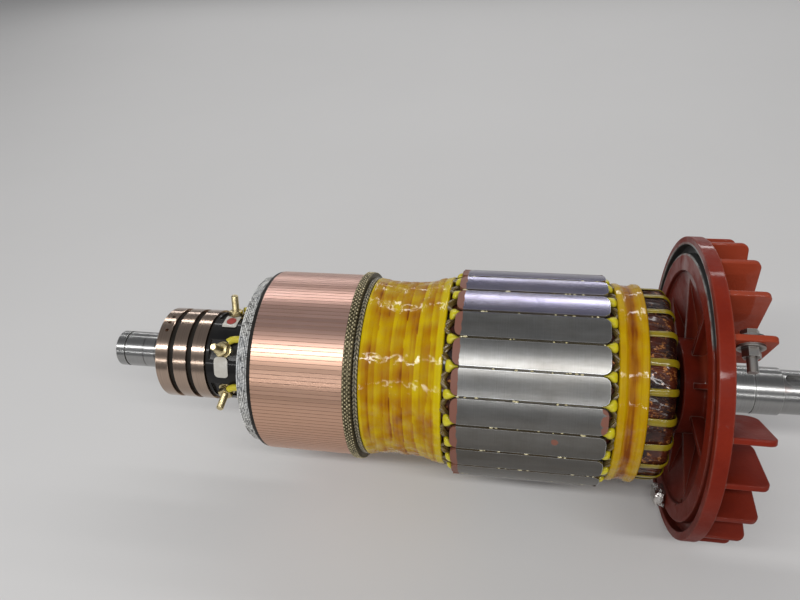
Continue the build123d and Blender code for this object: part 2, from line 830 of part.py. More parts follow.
washers = []
for start, way in ((-blade_side, -1), (blade_side, 1)):
    with BuildPart() as washer:
        with BuildSketch(blade_plane(bolt_angle).offset(start)):
            with Locations(bolt_place):
                Circle(balance_washer_d / 2)
                Circle(balance_bolt_d / 2 + balance_bolt_clearance, mode=Mode.SUBTRACT)
        extrude(amount=way * balance_washer_thickness)
    washers.append(washer.part)
balance_washers = Compound(children=washers, label="balance_washers")

with BuildPart() as balance_nut:
    with BuildSketch(blade_plane(bolt_angle).offset(under_head)):
        with Locations(bolt_place):
            RegularPolygon(balance_hex / 2, 6)
            Circle(balance_bolt_d / 2 + balance_bolt_clearance, mode=Mode.SUBTRACT)
    extrude(amount=balance_nut_height)
balance_nut.part.label = "balance_nut"

weight_r = (groove_in_r + dish_r) / 2
with BuildPart() as balance_weight:
    with BuildSketch(Plane.YZ.offset(x_rim_left)):
        with PolarLocations(weight_r, 1, balance_weight_angle):
            Rectangle(balance_weight_height, balance_weight_length)
    extrude(amount=-balance_weight_thickness)
balance_weight.part.label = "balance_weight"

for piece in [shaft, slip_ring_sleeve, *slip_rings, terminal_hub, *studs]:
    export_step(piece.part, f"parts/{piece.part.label}.step")
for piece in [
    commutator_hub, commutator_clamp_ring, commutator_cone_front, commutator_cone_rear,
    commutator_band, commutator_risers, riser_ring, core_laminations,
    coil_support_front, coil_support_rear, front_winding, front_banding,
    rear_winding, rear_banding, winding_ties, fan, balance_bolt, balance_nut, balance_weight,
]:
    export_step(piece.part, f"parts/{piece.part.label}.step")
for group in [
    terminal_washers, terminal_leads, commutator_segments, slot_wedges, slot_coils,
    slot_liners_front, slot_liners_rear, balance_washers,
]:
    export_step(group, f"parts/{group.label}.step")
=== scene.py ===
from math import atan2, cos, hypot, pi, radians, sin
from random import Random

import bmesh
import bpy
from mathutils import Matrix, Vector, noise


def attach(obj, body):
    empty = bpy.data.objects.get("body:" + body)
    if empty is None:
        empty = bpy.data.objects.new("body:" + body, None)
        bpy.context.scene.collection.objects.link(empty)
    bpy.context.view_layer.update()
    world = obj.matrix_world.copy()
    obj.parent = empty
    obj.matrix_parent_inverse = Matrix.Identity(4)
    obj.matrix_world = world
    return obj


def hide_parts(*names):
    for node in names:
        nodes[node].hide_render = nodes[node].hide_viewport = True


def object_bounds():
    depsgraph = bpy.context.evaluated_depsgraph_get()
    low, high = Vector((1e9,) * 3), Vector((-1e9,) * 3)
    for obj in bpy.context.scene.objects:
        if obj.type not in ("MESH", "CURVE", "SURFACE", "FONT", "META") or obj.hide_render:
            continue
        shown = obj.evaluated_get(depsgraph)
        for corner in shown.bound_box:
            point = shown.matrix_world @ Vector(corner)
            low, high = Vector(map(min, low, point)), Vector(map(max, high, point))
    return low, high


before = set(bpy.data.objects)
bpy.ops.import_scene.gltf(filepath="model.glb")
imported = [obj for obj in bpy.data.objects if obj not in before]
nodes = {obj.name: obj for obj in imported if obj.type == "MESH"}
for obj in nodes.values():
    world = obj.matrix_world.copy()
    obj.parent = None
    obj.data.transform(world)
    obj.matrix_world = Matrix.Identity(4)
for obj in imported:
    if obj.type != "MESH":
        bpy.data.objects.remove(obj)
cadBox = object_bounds()
mm = 0.001
chance = Random(11)
noise.seed_set(11)   # noise vectors would follow the clock otherwise
print("frame loaded:", len(nodes), "nodes")

# The shaft is the X axis. Angles are in degrees about X, from +Y towards +Z.
# Outlines and stations below are in mm, and mm turns them into metres.


# Camera and lights

photoCamera = {
    "place": (-0.330, -0.7041, 0.7041),
    "forward": (-0.1757, 0.7616, -0.6237),
    "up": (-0.0489, 0.6260, 0.7783),
    "lens": 30.245,
    "sensor": 36,
    "farthest": 60,
}
cameraData = bpy.data.cameras.new("photoCamera")
cameraData.lens = photoCamera["lens"]
cameraData.sensor_width = photoCamera["sensor"]
cameraData.clip_end = photoCamera["farthest"]
camera = bpy.data.objects.new("photoCamera", cameraData)
back = -Vector(photoCamera["forward"]).normalized()
right = Vector(photoCamera["up"]).cross(back).normalized()
turn = Matrix((right, back.cross(right), back)).transposed()
camera.matrix_world = Matrix.Translation(photoCamera["place"]) @ turn.to_4x4()
bpy.context.scene.collection.objects.link(camera)
bpy.context.scene.camera = camera
bpy.context.scene.view_settings.view_transform = "Standard"

# Long soft boxes along the shaft: elevation is measured across it, 0 towards the camera's side
lampMiddle = Vector((-0.6, 0, 0))
softBoxes = {
    "keyBox": {"elevation": 53, "distance": 2.4, "length": 4.6, "breadth": 0.17, "power": 44},
    "lowBox": {"elevation": 19, "distance": 2.6, "length": 4.0, "breadth": 0.10, "power": 11},
    "topBackBox": {"elevation": 131, "distance": 2.5, "length": 4.6, "breadth": 0.16, "power": 22},
    "lowBackBox": {"elevation": 168, "distance": 3.0, "length": 4.6, "breadth": 0.2, "power": 14},
}
for name, box in softBoxes.items():
    lamp = bpy.data.lights.new(name, "AREA")
    lamp.shape = "RECTANGLE"
    lamp.size = box["length"]
    lamp.size_y = box["breadth"]
    lamp.energy = box["power"]
    out = Vector((0, -cos(radians(box["elevation"])), sin(radians(box["elevation"]))))
    stand = bpy.data.objects.new(name, lamp)
    stand.location = lampMiddle + out * box["distance"]
    stand.rotation_mode = "QUATERNION"
    stand.rotation_quaternion = out.to_track_quat("Z", "Y")
    bpy.context.scene.collection.objects.link(stand)

roomLight = {"colour": (0.90, 0.91, 0.94, 1), "strength": 0.24}
world = bpy.data.worlds.new("paleRoom")
bpy.context.scene.world = world
world.use_nodes = True
air = world.node_tree.nodes["Background"]
air.inputs["Color"].default_value = roomLight["colour"]
air.inputs["Strength"].default_value = roomLight["strength"]


# Shader helpers: all of them add to the tree in hand, which newGroup, newFinish and reopen set

class SurfaceValue:
    # a shader node's output, so that plain arithmetic makes Math nodes
    def __init__(self, socket):
        self.socket = socket

    __abs__ = lambda a: calc("ABSOLUTE", a)
    __add__ = __radd__ = lambda a, b: calc("ADD", a, b)
    __mul__ = __rmul__ = lambda a, b: calc("MULTIPLY", a, b)
    __sub__ = lambda a, b: calc("SUBTRACT", a, b)
    __rsub__ = lambda a, b: calc("SUBTRACT", b, a)
    __truediv__ = lambda a, b: calc("DIVIDE", a, b)


def plug(socket, value):
    # value is a number, a colour or another node's output
    if isinstance(value, SurfaceValue):
        tree.links.new(value.socket, socket)
    else:
        socket.default_value = (*value, 1) if isinstance(value, tuple) else value


def put(kind, inputs=None, out=0, **settings):
    # adds one shader node and gives the output asked for
    made = tree.nodes.new("ShaderNode" + kind)
    for key, value in settings.items():
        setattr(made, key, value)
    for key, value in (inputs or {}).items():
        plug(made.inputs[key], value)
    return SurfaceValue(made.outputs[out])


def calc(operation, *values):
    return put("Math", dict(enumerate(values)), operation=operation)


def clamped(value):
    value.socket.node.use_clamp = True
    return value


def larger(*values):
    most = values[0]
    for value in values[1:]:
        most = calc("MAXIMUM", most, value)
    return most


def spread(value, fromLow, fromHigh, toLow=0.0, toHigh=1.0):
    return put("MapRange", {"Value": value, 1: fromLow, 2: fromHigh, 3: toLow, 4: toHigh}, clamp=True)


def layers(look, under, **coats):
    # lays the look's colours over each other in turn; each one covers where its mask is 1
    colour = look[under] if isinstance(under, str) else under
    for name, mask in coats.items():
        colour = put("Mix", {0: mask, 6: colour, 7: look[name]}, out=2, data_type="RGBA")
    return colour


def ramp(look, factor, **stops):
    # each stop says at what factor one of the look's colours stands; the first is at 0
    made = put("ValToRGB", {0: factor})
    steps = made.socket.node.color_ramp.elements
    steps.remove(steps[1])
    for number, (name, place) in enumerate(stops.items()):
        step = steps.new(place) if number else steps[0]
        step.color = (*look[name], 1)
    return made


def surfacePlace():
    return put("TexCoord", out="Object")


def axesOf(vector):
    made = tree.nodes.new("ShaderNodeSeparateXYZ")
    plug(made.inputs[0], vector)
    return [SurfaceValue(output) for output in made.outputs]


def fineNoise(scale, detail):
    return put("TexNoise", {"Scale": scale, "Detail": detail, "Vector": surfacePlace()})


def roundNoise(along, around, lengthwise, roundwise, **settings):
    # noise that runs round the shaft without a seam
    swing = around * (2 * pi)
    y, z = calc("COSINE", swing) * roundwise, calc("SINE", swing) * roundwise
    place = put("CombineXYZ", {"X": along * lengthwise, "Y": y, "Z": z})
    return put("TexNoise", {"Vector": place, "Scale": 1.0, **settings})


def ownTone(count):
    # a lasting random tone for each whole number of the count
    return put("TexWhiteNoise", {"W": calc("FLOOR", count)}, out="Value", noise_dimensions="1D")


def newGroup(name, inputs, outputs):
    global tree
    tree = bpy.data.node_groups.new(name, "ShaderNodeTree")
    for label, value in inputs.items():
        socket = tree.interface.new_socket(label, in_out="INPUT", socket_type="NodeSocketFloat")
        socket.default_value = value
    for label in outputs:
        tree.interface.new_socket(label, in_out="OUTPUT", socket_type="NodeSocketFloat")
    given = tree.nodes.new("NodeGroupInput").outputs
    result = tree.nodes.new("NodeGroupOutput").inputs
    return tree, {label: SurfaceValue(given[label]) for label in inputs}, result


def useGroup(group, **inputs):
    # gives a list where the group has more than one output
    made = tree.nodes.new("ShaderNodeGroup")
    made.node_tree = group
    for key, value in inputs.items():
        plug(made.inputs[key], value)
    found = [SurfaceValue(output) for output in made.outputs]
    return found if len(found) > 1 else found[0]


# Effects that several finishes share

# where a point is on the machine: along the shaft and out from it in mm, and round it in turns
topTurn = 0.25
shaftPlace, given, result = newGroup("shaftPlace", {}, ["Along", "Around", "Out"])
x, y, z = axesOf(surfacePlace())
plug(result["Along"], x * 1000)
plug(result["Around"], calc("ARCTAN2", z, y) / (2 * pi))
plug(result["Out"], calc("SQRT", calc("POWER", y, 2) + calc("POWER", z, 2)) * 1000)

# fine rings left by turning or polishing, Pitch in lines per mm
turnedLines, given, result = newGroup("turnedLines", {"Pitch": 2.0, "Contrast": 1.0}, ["Lines"])
along, around, outward = useGroup(shaftPlace)
lines = put("TexNoise", {"W": along * given["Pitch"], "Scale": 1.0, "Detail": 5.0, "Roughness": 0.75},
            noise_dimensions="1D")
plug(result["Lines"], clamped((lines - 0.5) * given["Contrast"] + 0.5))

# soft-edged blotches, Size in mm; a lower Level covers more
blotches, given, result = newGroup(
    "blotches", {"Size": 20.0, "Level": 0.6, "Softness": 0.08, "Stretch": 1.0, "Seed": 0.0}, ["Mask"])
x, y, z = axesOf(surfacePlace())
cloud = put("TexNoise", {
    "Vector": put("CombineXYZ", {"X": x * given["Stretch"], "Y": y, "Z": z}), "W": given["Seed"],
    "Detail": 6.0, "Roughness": 0.62, "Scale": calc("DIVIDE", 1000, given["Size"]),
}, noise_dimensions="4D")
plug(result["Mask"], spread(cloud, given["Level"] - given["Softness"], given["Level"] + given["Softness"]))


def blotch(size, level, softness, stretch=1.0, seed=0.0):
    return useGroup(blotches, Size=size, Level=level, Softness=softness, Stretch=stretch, Seed=seed)


# edges rubbed bare or bright; on the core this paints glints along the tooth edges; Reach in mm
rubbedEdges, given, result = newGroup("rubbedEdges", {"Reach": 1.0, "Amount": 1.0}, ["Mask"])
rounded = put("Bevel", {"Radius": given["Reach"] * mm}, samples=4)
real = put("NewGeometry", out="Normal")
off = 1.0 - put("VectorMath", {0: rounded, 1: real}, out="Value", operation="DOT_PRODUCT")
worn = spread(off, 0.01, 0.12) * (blotch(14.0, 0.5, 0.2) + 0.35)
plug(result["Mask"], clamped(worn * given["Amount"]))

# painted shade and dirt in corners and recesses: darker where ambient occlusion finds them, Reach in mm
cornerDirt, given, result = newGroup("cornerDirt", {"Reach": 12.0, "Amount": 1.0}, ["Mask"])
shade = put("AmbientOcclusion", {"Distance": given["Reach"] * mm}, out="AO", samples=6)
hidden = spread(shade, 0.95, 0.35) * (blotch(30.0, 0.5, 0.25) + 0.5)
plug(result["Mask"], clamped(hidden * given["Amount"]))

# a ragged spot, Size in mm; the place is in metres
spots, given, result = newGroup(
    "spots", {"X": 0.0, "Y": 0.0, "Z": 0.0, "Size": 4.0, "Ragged": 0.0, "Softness": 0.15}, ["Mask"])
middle = put("CombineXYZ", {axis: given[axis] for axis in "XYZ"})
away = put("VectorMath", {0: surfacePlace(), 1: middle}, out="Value", operation="DISTANCE")
wavy = away * 1000 / given["Size"] + (blotch(14.0, 0.5, 0.3) - 0.5) * given["Ragged"]
plug(result["Mask"], spread(wavy, 1.0, 1.0 - given["Softness"]))


def spot(x, radius, angle, size, ragged=0.0, softness=0.15):
    swing = radians(angle)
    return useGroup(spots, X=x * mm, Y=radius * cos(swing) * mm, Z=radius * sin(swing) * mm,
                    Size=size, Ragged=ragged, Softness=softness)


finishes = {}


def newFinish(name, metallic=0.0, roughness=0.5, coat=0.0, coatRoughness=0.05, specular=0.5):
    # a material with its Principled shader; what varies over the surface is linked in by finishWith
    global tree, shader
    material = finishes[name] = bpy.data.materials.new(name)
    material.use_nodes = True
    tree = material.node_tree
    shader = tree.nodes["Principled BSDF"]
    for label, value in (("Metallic", metallic), ("Roughness", roughness), ("Coat Weight", coat),
                         ("Coat Roughness", coatRoughness), ("Specular IOR Level", specular)):
        shader.inputs[label].default_value = value


def reopen(name):
    # takes a finish in hand again and gives its colour so far
    global tree, shader
    tree = finishes[name].node_tree
    shader = tree.nodes["Principled BSDF"]
    return SurfaceValue(shader.inputs["Base Color"].links[0].from_socket)


def finishWith(colour, roughness=None, metallic=None, coat=None, height=None, depth=0.1):
    # height is 0 to 1, and depth is what 1 stands for, in mm
    for label, value in (("Base Color", colour), ("Roughness", roughness), ("Metallic", metallic),
                         ("Coat Weight", coat)):
        if value is not None:
            plug(shader.inputs[label], value)
    if height is not None:
        bump = put("Bump", {"Height": height, "Strength": 1.0, "Distance": depth * mm})
        plug(shader.inputs["Normal"], bump)


# Turned and drawn metals

plainMetal = {
    "grime": (0.05, 0.035, 0.02), "pitch": 1.0, "dirtReach": 3.0, "dirt": 0.7, "edges": 0.8, "cut": 0.01,
}
metalLooks = {
    "turnedSteel": {
        "colour": (0.44, 0.44, 0.435), "dark": (0.26, 0.26, 0.255), "tarnish": (0.22, 0.2, 0.17),
        "grime": (0.05, 0.045, 0.035), "bright": (0.85, 0.85, 0.83), "roughness": 0.22, "pitch": 1.4,
        "contrast": 1.9, "blotch": 50.0, "dulling": 0.12, "dirtReach": 14.0, "cut": 0.012},
    "ringBronze": {
        "colour": (0.55, 0.43, 0.35), "dark": (0.3, 0.215, 0.17), "tarnish": (0.34, 0.27, 0.15),
        "bright": (0.95, 0.75, 0.6), "roughness": 0.16, "pitch": 0.8, "contrast": 1.1, "blotch": 90.0,
        "dulling": 0.18, "dirt": 0.3, "edges": 0.5},
    "studBrass": {
        "colour": (0.86, 0.76, 0.46), "dark": (0.62, 0.5, 0.26), "tarnish": (0.35, 0.24, 0.1),
        "bright": (0.95, 0.82, 0.5), "roughness": 0.27, "contrast": 0.8, "blotch": 8.0, "dulling": 0.5},
    "hubSteel": {
        "colour": (0.3, 0.29, 0.28), "dark": (0.18, 0.17, 0.16), "tarnish": (0.12, 0.09, 0.06),
        "grime": (0.02, 0.018, 0.015), "bright": (0.6, 0.6, 0.6), "roughness": 0.4, "pitch": 1.2,
        "contrast": 1.2, "blotch": 22.0, "dulling": 0.7, "dirtReach": 16.0, "dirt": 1.0, "edges": 0.7,
        "cut": 0.03},
    "zincSteel": {
        "colour": (0.46, 0.45, 0.43), "dark": (0.32, 0.31, 0.3), "tarnish": (0.2, 0.14, 0.09),
        "grime": (0.04, 0.02, 0.015), "bright": (0.8, 0.8, 0.78), "roughness": 0.3, "contrast": 0.6,
        "blotch": 12.0, "dulling": 0.6, "dirtReach": 5.0, "dirt": 0.8, "edges": 1.0},
}
for name, own in metalLooks.items():
    look = {**plainMetal, **own}
    newFinish(name, metallic=1.0, roughness=look["roughness"])
    lines = useGroup(turnedLines, Pitch=look["pitch"], Contrast=look["contrast"])
    dull = blotch(look["blotch"], 0.52, 0.16, stretch=0.6) * look["dulling"]
    # painted shade and grime: the metal darkens in its corners and recesses
    dirt = useGroup(cornerDirt, Reach=look["dirtReach"], Amount=look["dirt"])
    edges = useGroup(rubbedEdges, Reach=0.9, Amount=look["edges"])
    colour = layers(look, "dark", colour=spread(lines, 0.25, 0.75), tarnish=dull, grime=dirt, bright=edges)
    rough = clamped(look["roughness"] + dull * 0.25 + dirt * 0.3)
    finishWith(colour, rough, height=lines, depth=look["cut"])

# On the shaft: two lines scribed round the stub, oil and smears of red paint behind the fan, and painted
# shade, near black, from the commutator to the fan, where the shaft lies under the winding. A film starts
# and ends softly: it has nothing at the first place of each pair and is full at the second.
stubLines = {"at": (-905.75, -886.75), "half": 0.8, "colour": (0.09, 0.085, 0.08)}
shaftFilms = {
    "oil": (0.07, 0.066, 0.06), "oilStart": (-50.0, -35.0), "oilAmount": 0.15,
    # the varnish colour here is painted shade under the winding, near black
    "varnish": (0.012, 0.009, 0.008), "varnishStart": (-700.0, -690.0), "varnishEnd": (-108.0, -112.0),
    "smear": (0.20, 0.035, 0.015), "smearStart": (-50.0, -45.0), "smearEnd": (30.0, 10.0),
}
colour = reopen("turnedSteel")
along, around, outward = useGroup(shaftPlace)
for at in stubLines["at"]:
    scribed = spread(abs(along - at), stubLines["half"], stubLines["half"] * 0.6)
    colour = layers(stubLines, colour, colour=scribed)
oiled = spread(along, *shaftFilms["oilStart"]) * shaftFilms["oilAmount"]
# painted shade: near black over the shaft under the winding, from the commutator to the fan
varnished = spread(along, *shaftFilms["varnishStart"]) * spread(along, *shaftFilms["varnishEnd"])
smeared = blotch(20.0, 0.63, 0.05, stretch=0.12, seed=6.0) * spread(along, *shaftFilms["smearEnd"])
smeared = smeared * spread(along, *shaftFilms["smearStart"])
finishWith(layers(shaftFilms, colour, oil=oiled, varnish=varnished, smear=smeared))

# Three small drillings in the first slip ring, each with its x and angle; their insides are painted near
# black as painted shade
ringDots = {"spots": ((-848.4, 87.0), (-849.8, 96.5), (-848.9, 108.9)), "radius": 69.0, "size": 2.8,
            "colour": (0.01, 0.008, 0.006)}
colour = reopen("ringBronze")
# painted shade inside each drilling
for x, angle in ringDots["spots"]:
    colour = layers(ringDots, colour, colour=spot(x, ringDots["radius"], angle, ringDots["size"]))
finishWith(colour)

# Copper bars: each bar's own tone, tarnish over groups of bars, fine polishing lines, and a painted warm
# reflection on the lower side
copperLook = {
    "bars": 144, "colour": (0.80, 0.545, 0.48), "dark": (0.62, 0.385, 0.32), "film": (0.52, 0.28, 0.19),
    "golden": (0.66, 0.40, 0.255), "grime": (0.06, 0.035, 0.02), "roughness": 0.3, "pitch": 1.8,
}
newFinish("commutatorCopper", metallic=1.0)
along, around, outward = useGroup(shaftPlace)
barTone = ownTone(around * copperLook["bars"])
lines = useGroup(turnedLines, Pitch=copperLook["pitch"], Contrast=1.2)
film = blotch(60.0, 0.5, 0.2, stretch=0.4) * 0.35
# painted reflection: a warm golden tone away from the top
lowSide = spread(abs(around - topTurn), 0.07, 0.13, 0.0, 0.6)
# painted shade and grime in the copper's corners
dirt = useGroup(cornerDirt, Reach=2.0, Amount=0.3)
colour = layers(copperLook, "dark", colour=barTone * 0.35 + lines * 0.65, film=film, golden=lowSide,
                grime=dirt)
finishWith(colour, copperLook["roughness"] + barTone * 0.08, height=lines, depth=0.02)

# Core: ground teeth with their own tones, faint sheet lines, red oxide at the tooth ends; painted light too:
# a violet reflection on the top teeth, shade on the lower teeth, glints on the tooth edges and shade in the
# corners
coreLook = {
    "teeth": 24, "firstSlot": -1.7, "front": -411.0, "paintEnd": 6.0, "roughness": 0.28,
    "colour": (0.31, 0.31, 0.30), "dark": (0.17, 0.17, 0.165), "violet": (0.28, 0.26, 0.43),
    "film": (0.17, 0.145, 0.11), "streak": (0.46, 0.455, 0.44), "smudge": (0.10, 0.085, 0.065),
    "oil": (0.065, 0.055, 0.042), "bright": (0.8, 0.8, 0.8), "varnish": (0.09, 0.06, 0.02),
    "oxide": (0.205, 0.078, 0.05),
    # x, radius, angle and size of each daub of paint
    "daubs": ((-219.5, 148, 149.5, 6.5), (-219.0, 148, 155.0, 8.0), (-219.5, 148, 160.5, 6.5),
              (-278.5, 148, 168.8, 5.0), (-219.0, 148, 254.0, 8.0), (-305.0, 148, 21.0, 6.0),
              (-219.0, 148, 318.0, 9.0)),
}
newFinish("coreSteel", metallic=1.0)
along, around, outward = useGroup(shaftPlace)
toothTone = ownTone(calc("FRACT", around - coreLook["firstSlot"] / 360) * coreLook["teeth"])
sheets = useGroup(turnedLines, Pitch=0.7, Contrast=1.8)
skyward = spread(abs(around - 0.2), 0.092, 0.084)   # a painted violet reflection on the top teeth
smears = blotch(46.0, 0.54, 0.14, stretch=0.35)
streaks = blotch(12.0, 0.5, 0.2, stretch=0.14, seed=3.0)
smudges = blotch(22.0, 0.58, 0.14, seed=12.0)
# painted shade: the teeth darken away from the top
oiled = spread(abs(around - topTurn), 0.15, 0.23)
# painted glints: the tooth edges beside the slots are made bright
edges = useGroup(rubbedEdges, Reach=1.2, Amount=0.9)
# varnish in the corners, laid by the corner shade mask, so it paints shade there as well
varnish = useGroup(cornerDirt, Reach=5.0, Amount=0.9)
paintEnd = coreLook["paintEnd"] + fineNoise(90.0, 4.0) * 6.0
paint = larger(calc("LESS_THAN", along - coreLook["front"], paintEnd),
               *[spot(*daub, ragged=0.9) for daub in coreLook["daubs"]])
colour = layers(coreLook, "dark", colour=toothTone * 0.45 + sheets * 0.55, violet=skyward * 0.8,
                film=smears * 0.35, streak=streaks * 0.3, smudge=smudges * 0.22, oil=oiled * 0.55,
                bright=edges, varnish=varnish, oxide=paint)
rough = coreLook["roughness"] + smears * 0.06 + skyward * -0.09 + paint * 0.25
finishWith(colour, rough, clamped(1.0 - larger(paint, varnish)), height=sheets, depth=0.03)

# Resin-soaked tape: the pieces carry how thick the resin lies and which turn of tape it is
amberLook = {
    "thin": (0.57, 0.39, 0.002), "yellow": (0.47, 0.275, 0.001), "orange": (0.38, 0.155, 0.001),
    "brown": (0.18, 0.042, 0.001), "edge": (0.61, 0.47, 0.003), "stain": (0.27, 0.075, 0.001),
    # x, angle and size of each stain
    "stains": ((-445.0, 174.0, 22.0), (-495.6, 176.5, 11.0), (-465.9, 164.0, 8.0), (-478.0, 262.0, 20.0),
               (-500.0, 34.0, 14.0)),
    "stainRadius": 130.0,
}
newFinish("amberBanding", roughness=0.42, coatRoughness=0.05, specular=0.06)
along, around, outward = useGroup(shaftPlace)
resin = put("Attribute", out="Fac", attribute_name="resin")
cloud = blotch(60.0, 0.5, 0.2, stretch=1.3)
fibre = roundNoise(along, around, 0.26, 1.9, Detail=4.0, Roughness=0.6)   # it runs round with the tape
colour = ramp(amberLook, resin + (cloud - 0.5) * 0.18 + (fibre - 0.5) * 0.42,
              edge=0.0, thin=0.28, yellow=0.5, orange=0.78, brown=1.0)
stain = larger(blotch(34.0, 0.74, 0.08, seed=5.0), *[
    spot(x, amberLook["stainRadius"], angle, size, ragged=1.2, softness=0.9)
    for x, angle, size in amberLook["stains"]])
pools = blotch(11.0, 0.53, 0.08, seed=9.0)
finishWith(layers(amberLook, colour, stain=stain * 0.55), coat=spread(pools, 0, 1, 0.10, 0.95),
           height=fineNoise(420.0, 2.0) * 0.35 + fibre * 1.2, depth=0.3)

# Paint, varnish, board and moulding: two tones in blotches, dirt in corners, worn edges
plainLook = {
    "blotch": 18.0, "dirtReach": 8.0, "dirt": 0.6, "grime": (0.02, 0.016, 0.01), "edgeReach": 0.8,
    "edges": 0.4, "unevenness": 0.15, "grain": 500.0, "grainDepth": 0.15, "metallic": 0.0, "coat": 0.0,
    "specular": 0.4,
}
coatedLooks = {
    "blackInsulation": {
        "colour": (0.012, 0.011, 0.01), "second": (0.03, 0.027, 0.024), "bare": (0.1, 0.09, 0.08),
        "roughness": 0.32, "specular": 0.12},
    "blackMoulding": {
        "colour": (0.006, 0.006, 0.007), "second": (0.014, 0.013, 0.012), "bare": (0.12, 0.11, 0.1),
        "roughness": 0.3, "coat": 0.3, "specular": 0.12, "blotch": 30.0, "grain": 120.0, "grainDepth": 0.5},
    "leadSleeving": {
        "colour": (0.72, 0.63, 0.03), "second": (0.6, 0.48, 0.03), "bare": (0.8, 0.72, 0.12),
        "roughness": 0.4, "coat": 0.4, "grain": 900.0, "grainDepth": 0.3, "dirt": 0.3},
    "coneMica": {
        "colour": (0.1, 0.075, 0.045), "second": (0.055, 0.04, 0.025), "bare": (0.2, 0.16, 0.1),
        "roughness": 0.45, "coat": 0.3},
    "wedgeBoard": {
        "colour": (0.085, 0.065, 0.018), "second": (0.045, 0.032, 0.012), "bare": (0.16, 0.12, 0.04),
        "roughness": 0.25, "coat": 0.8, "blotch": 12.0, "edges": 0.2},
    "coilInsulation": {
        "colour": (0.16, 0.09, 0.015), "second": (0.06, 0.028, 0.01), "bare": (0.3, 0.2, 0.05),
        "roughness": 0.25, "coat": 0.8, "blotch": 8.0, "grain": 260.0, "grainDepth": 0.6},
    "coilEnds": {
        "colour": (0.085, 0.045, 0.01), "second": (0.22, 0.15, 0.022), "bare": (0.4, 0.28, 0.06),
        "roughness": 0.2, "coat": 1.0, "blotch": 5.0, "grain": 300.0, "grainDepth": 0.8, "dirt": 0.9},
    "yellowCuffs": {
        "colour": (0.72, 0.66, 0.02), "second": (0.55, 0.44, 0.01), "bare": (0.78, 0.74, 0.1),
        "roughness": 0.25, "coat": 0.6, "specular": 0.2, "blotch": 5.0, "dirtReach": 7.0, "dirt": 1.0,
        "grime": (0.1, 0.06, 0.01)},
    "supportIron": {
        "colour": (0.05, 0.035, 0.02), "second": (0.02, 0.016, 0.012), "bare": (0.16, 0.14, 0.12),
        "roughness": 0.45, "coat": 0.4, "grain": 200.0, "grainDepth": 0.5},
    "tapeTies": {
        "colour": (0.31, 0.24, 0.006), "second": (0.21, 0.145, 0.005), "bare": (0.42, 0.34, 0.03),
        "roughness": 0.3, "coat": 0.7, "specular": 0.2, "blotch": 9.0, "grain": 600.0, "grainDepth": 0.25,
        "grime": (0.05, 0.025, 0.006)},
    "fanRed": {
        "colour": (0.235, 0.02, 0.006), "second": (0.155, 0.011, 0.004), "bare": (0.27, 0.16, 0.13),
        "roughness": 0.42, "specular": 0.1, "blotch": 42.0, "dirtReach": 26.0, "dirt": 0.5,
        "grime": (0.035, 0.01, 0.006), "edgeReach": 1.8, "edges": 0.95, "grain": 260.0, "grainDepth": 0.35,
        "unevenness": 0.2},
    "micaSheet": {
        "metallic": 0.5, "colour": (0.4, 0.25, 0.19), "second": (0.29, 0.17, 0.12),
        "bare": (0.2, 0.1, 0.06), "roughness": 0.5, "edges": 0.0, "dirt": 0.0},
    "bareTag": {
        "colour": (0.62, 0.6, 0.55), "second": (0.5, 0.47, 0.41), "bare": (0.75, 0.73, 0.7),
        "roughness": 0.4, "coat": 0.3, "blotch": 12.0},
    "redDisc": {
        "colour": (0.42, 0.03, 0.02), "second": (0.3, 0.02, 0.014), "bare": (0.5, 0.1, 0.08),
        "roughness": 0.4, "coat": 0.3},
    "varnishDrops": {
        "colour": (0.56, 0.47, 0.22), "second": (0.72, 0.66, 0.42), "bare": (0.85, 0.8, 0.6),
        "roughness": 0.08, "coat": 1.0, "grain": 60.0, "grainDepth": 0.05, "edges": 0.0},
    "shinyLump": {
        "metallic": 1.0, "colour": (0.72, 0.7, 0.68), "second": (0.42, 0.38, 0.35),
        "bare": (0.9, 0.9, 0.88), "roughness": 0.16, "blotch": 6.0, "grain": 240.0, "grainDepth": 0.6},
}
for name, own in coatedLooks.items():
    look = {**plainLook, **own}
    newFinish(name, metallic=look["metallic"], roughness=look["roughness"], coat=look["coat"],
              coatRoughness=0.08, specular=look["specular"])
    tone = blotch(look["blotch"], 0.5, 0.25)
    # painted shade and grime in corners, such as the fan's dish and round the cuffs
    dirt = useGroup(cornerDirt, Reach=look["dirtReach"], Amount=look["dirt"])
    edges = useGroup(rubbedEdges, Reach=look["edgeReach"], Amount=look["edges"])
    colour = layers(look, "colour", second=tone, grime=dirt, bare=edges)
    finishWith(colour, clamped(look["roughness"] + tone * look["unevenness"]),
               height=fineNoise(look["grain"], 4.0), depth=look["grainDepth"])

# The fan's balancing groove is bare at the top and paint is chipped off below the drillings; the upper
# blades are lightened as painted light and the lower ones darkened as painted shade
fanBare = {
    "groove": (182.2, 195.8), "blur": 0.4, "grooveTurns": (-0.09, 0.34), "colour": (0.055, 0.053, 0.052),
    "grooveDepth": (-110.9, -98.0), "face": (-109.4, -110.4), "blades": (-96.0, -90.0),
    "chips": ((-111.0, 155.0, 217.0, 7.0), (-111.0, 143.0, 190.0, 6.5)), "chip": (0.25, 0.24, 0.23),
    "lips": ((181.6, 1.6), (196.6, 2.2)), "worn": (0.26, 0.255, 0.24), "dust": (0.06, 0.012, 0.007),
    "faded": (0.36, 0.060, 0.024), "fading": 0.65,
}
colour = reopen("fanRed")
along, around, outward = useGroup(shaftPlace)
low, high = fanBare["groove"]
half = (high - low) / 2
inGroove = spread(abs(outward - (low + high) / 2), half + fanBare["blur"], half - fanBare["blur"])
first, last = fanBare["grooveTurns"]
shifted = around + blotch(30.0, 0.5, 0.3) * 0.02
atTop = spread(shifted, first, first + 0.02) * spread(shifted, last + 0.01, last)
low, high = fanBare["grooveDepth"]
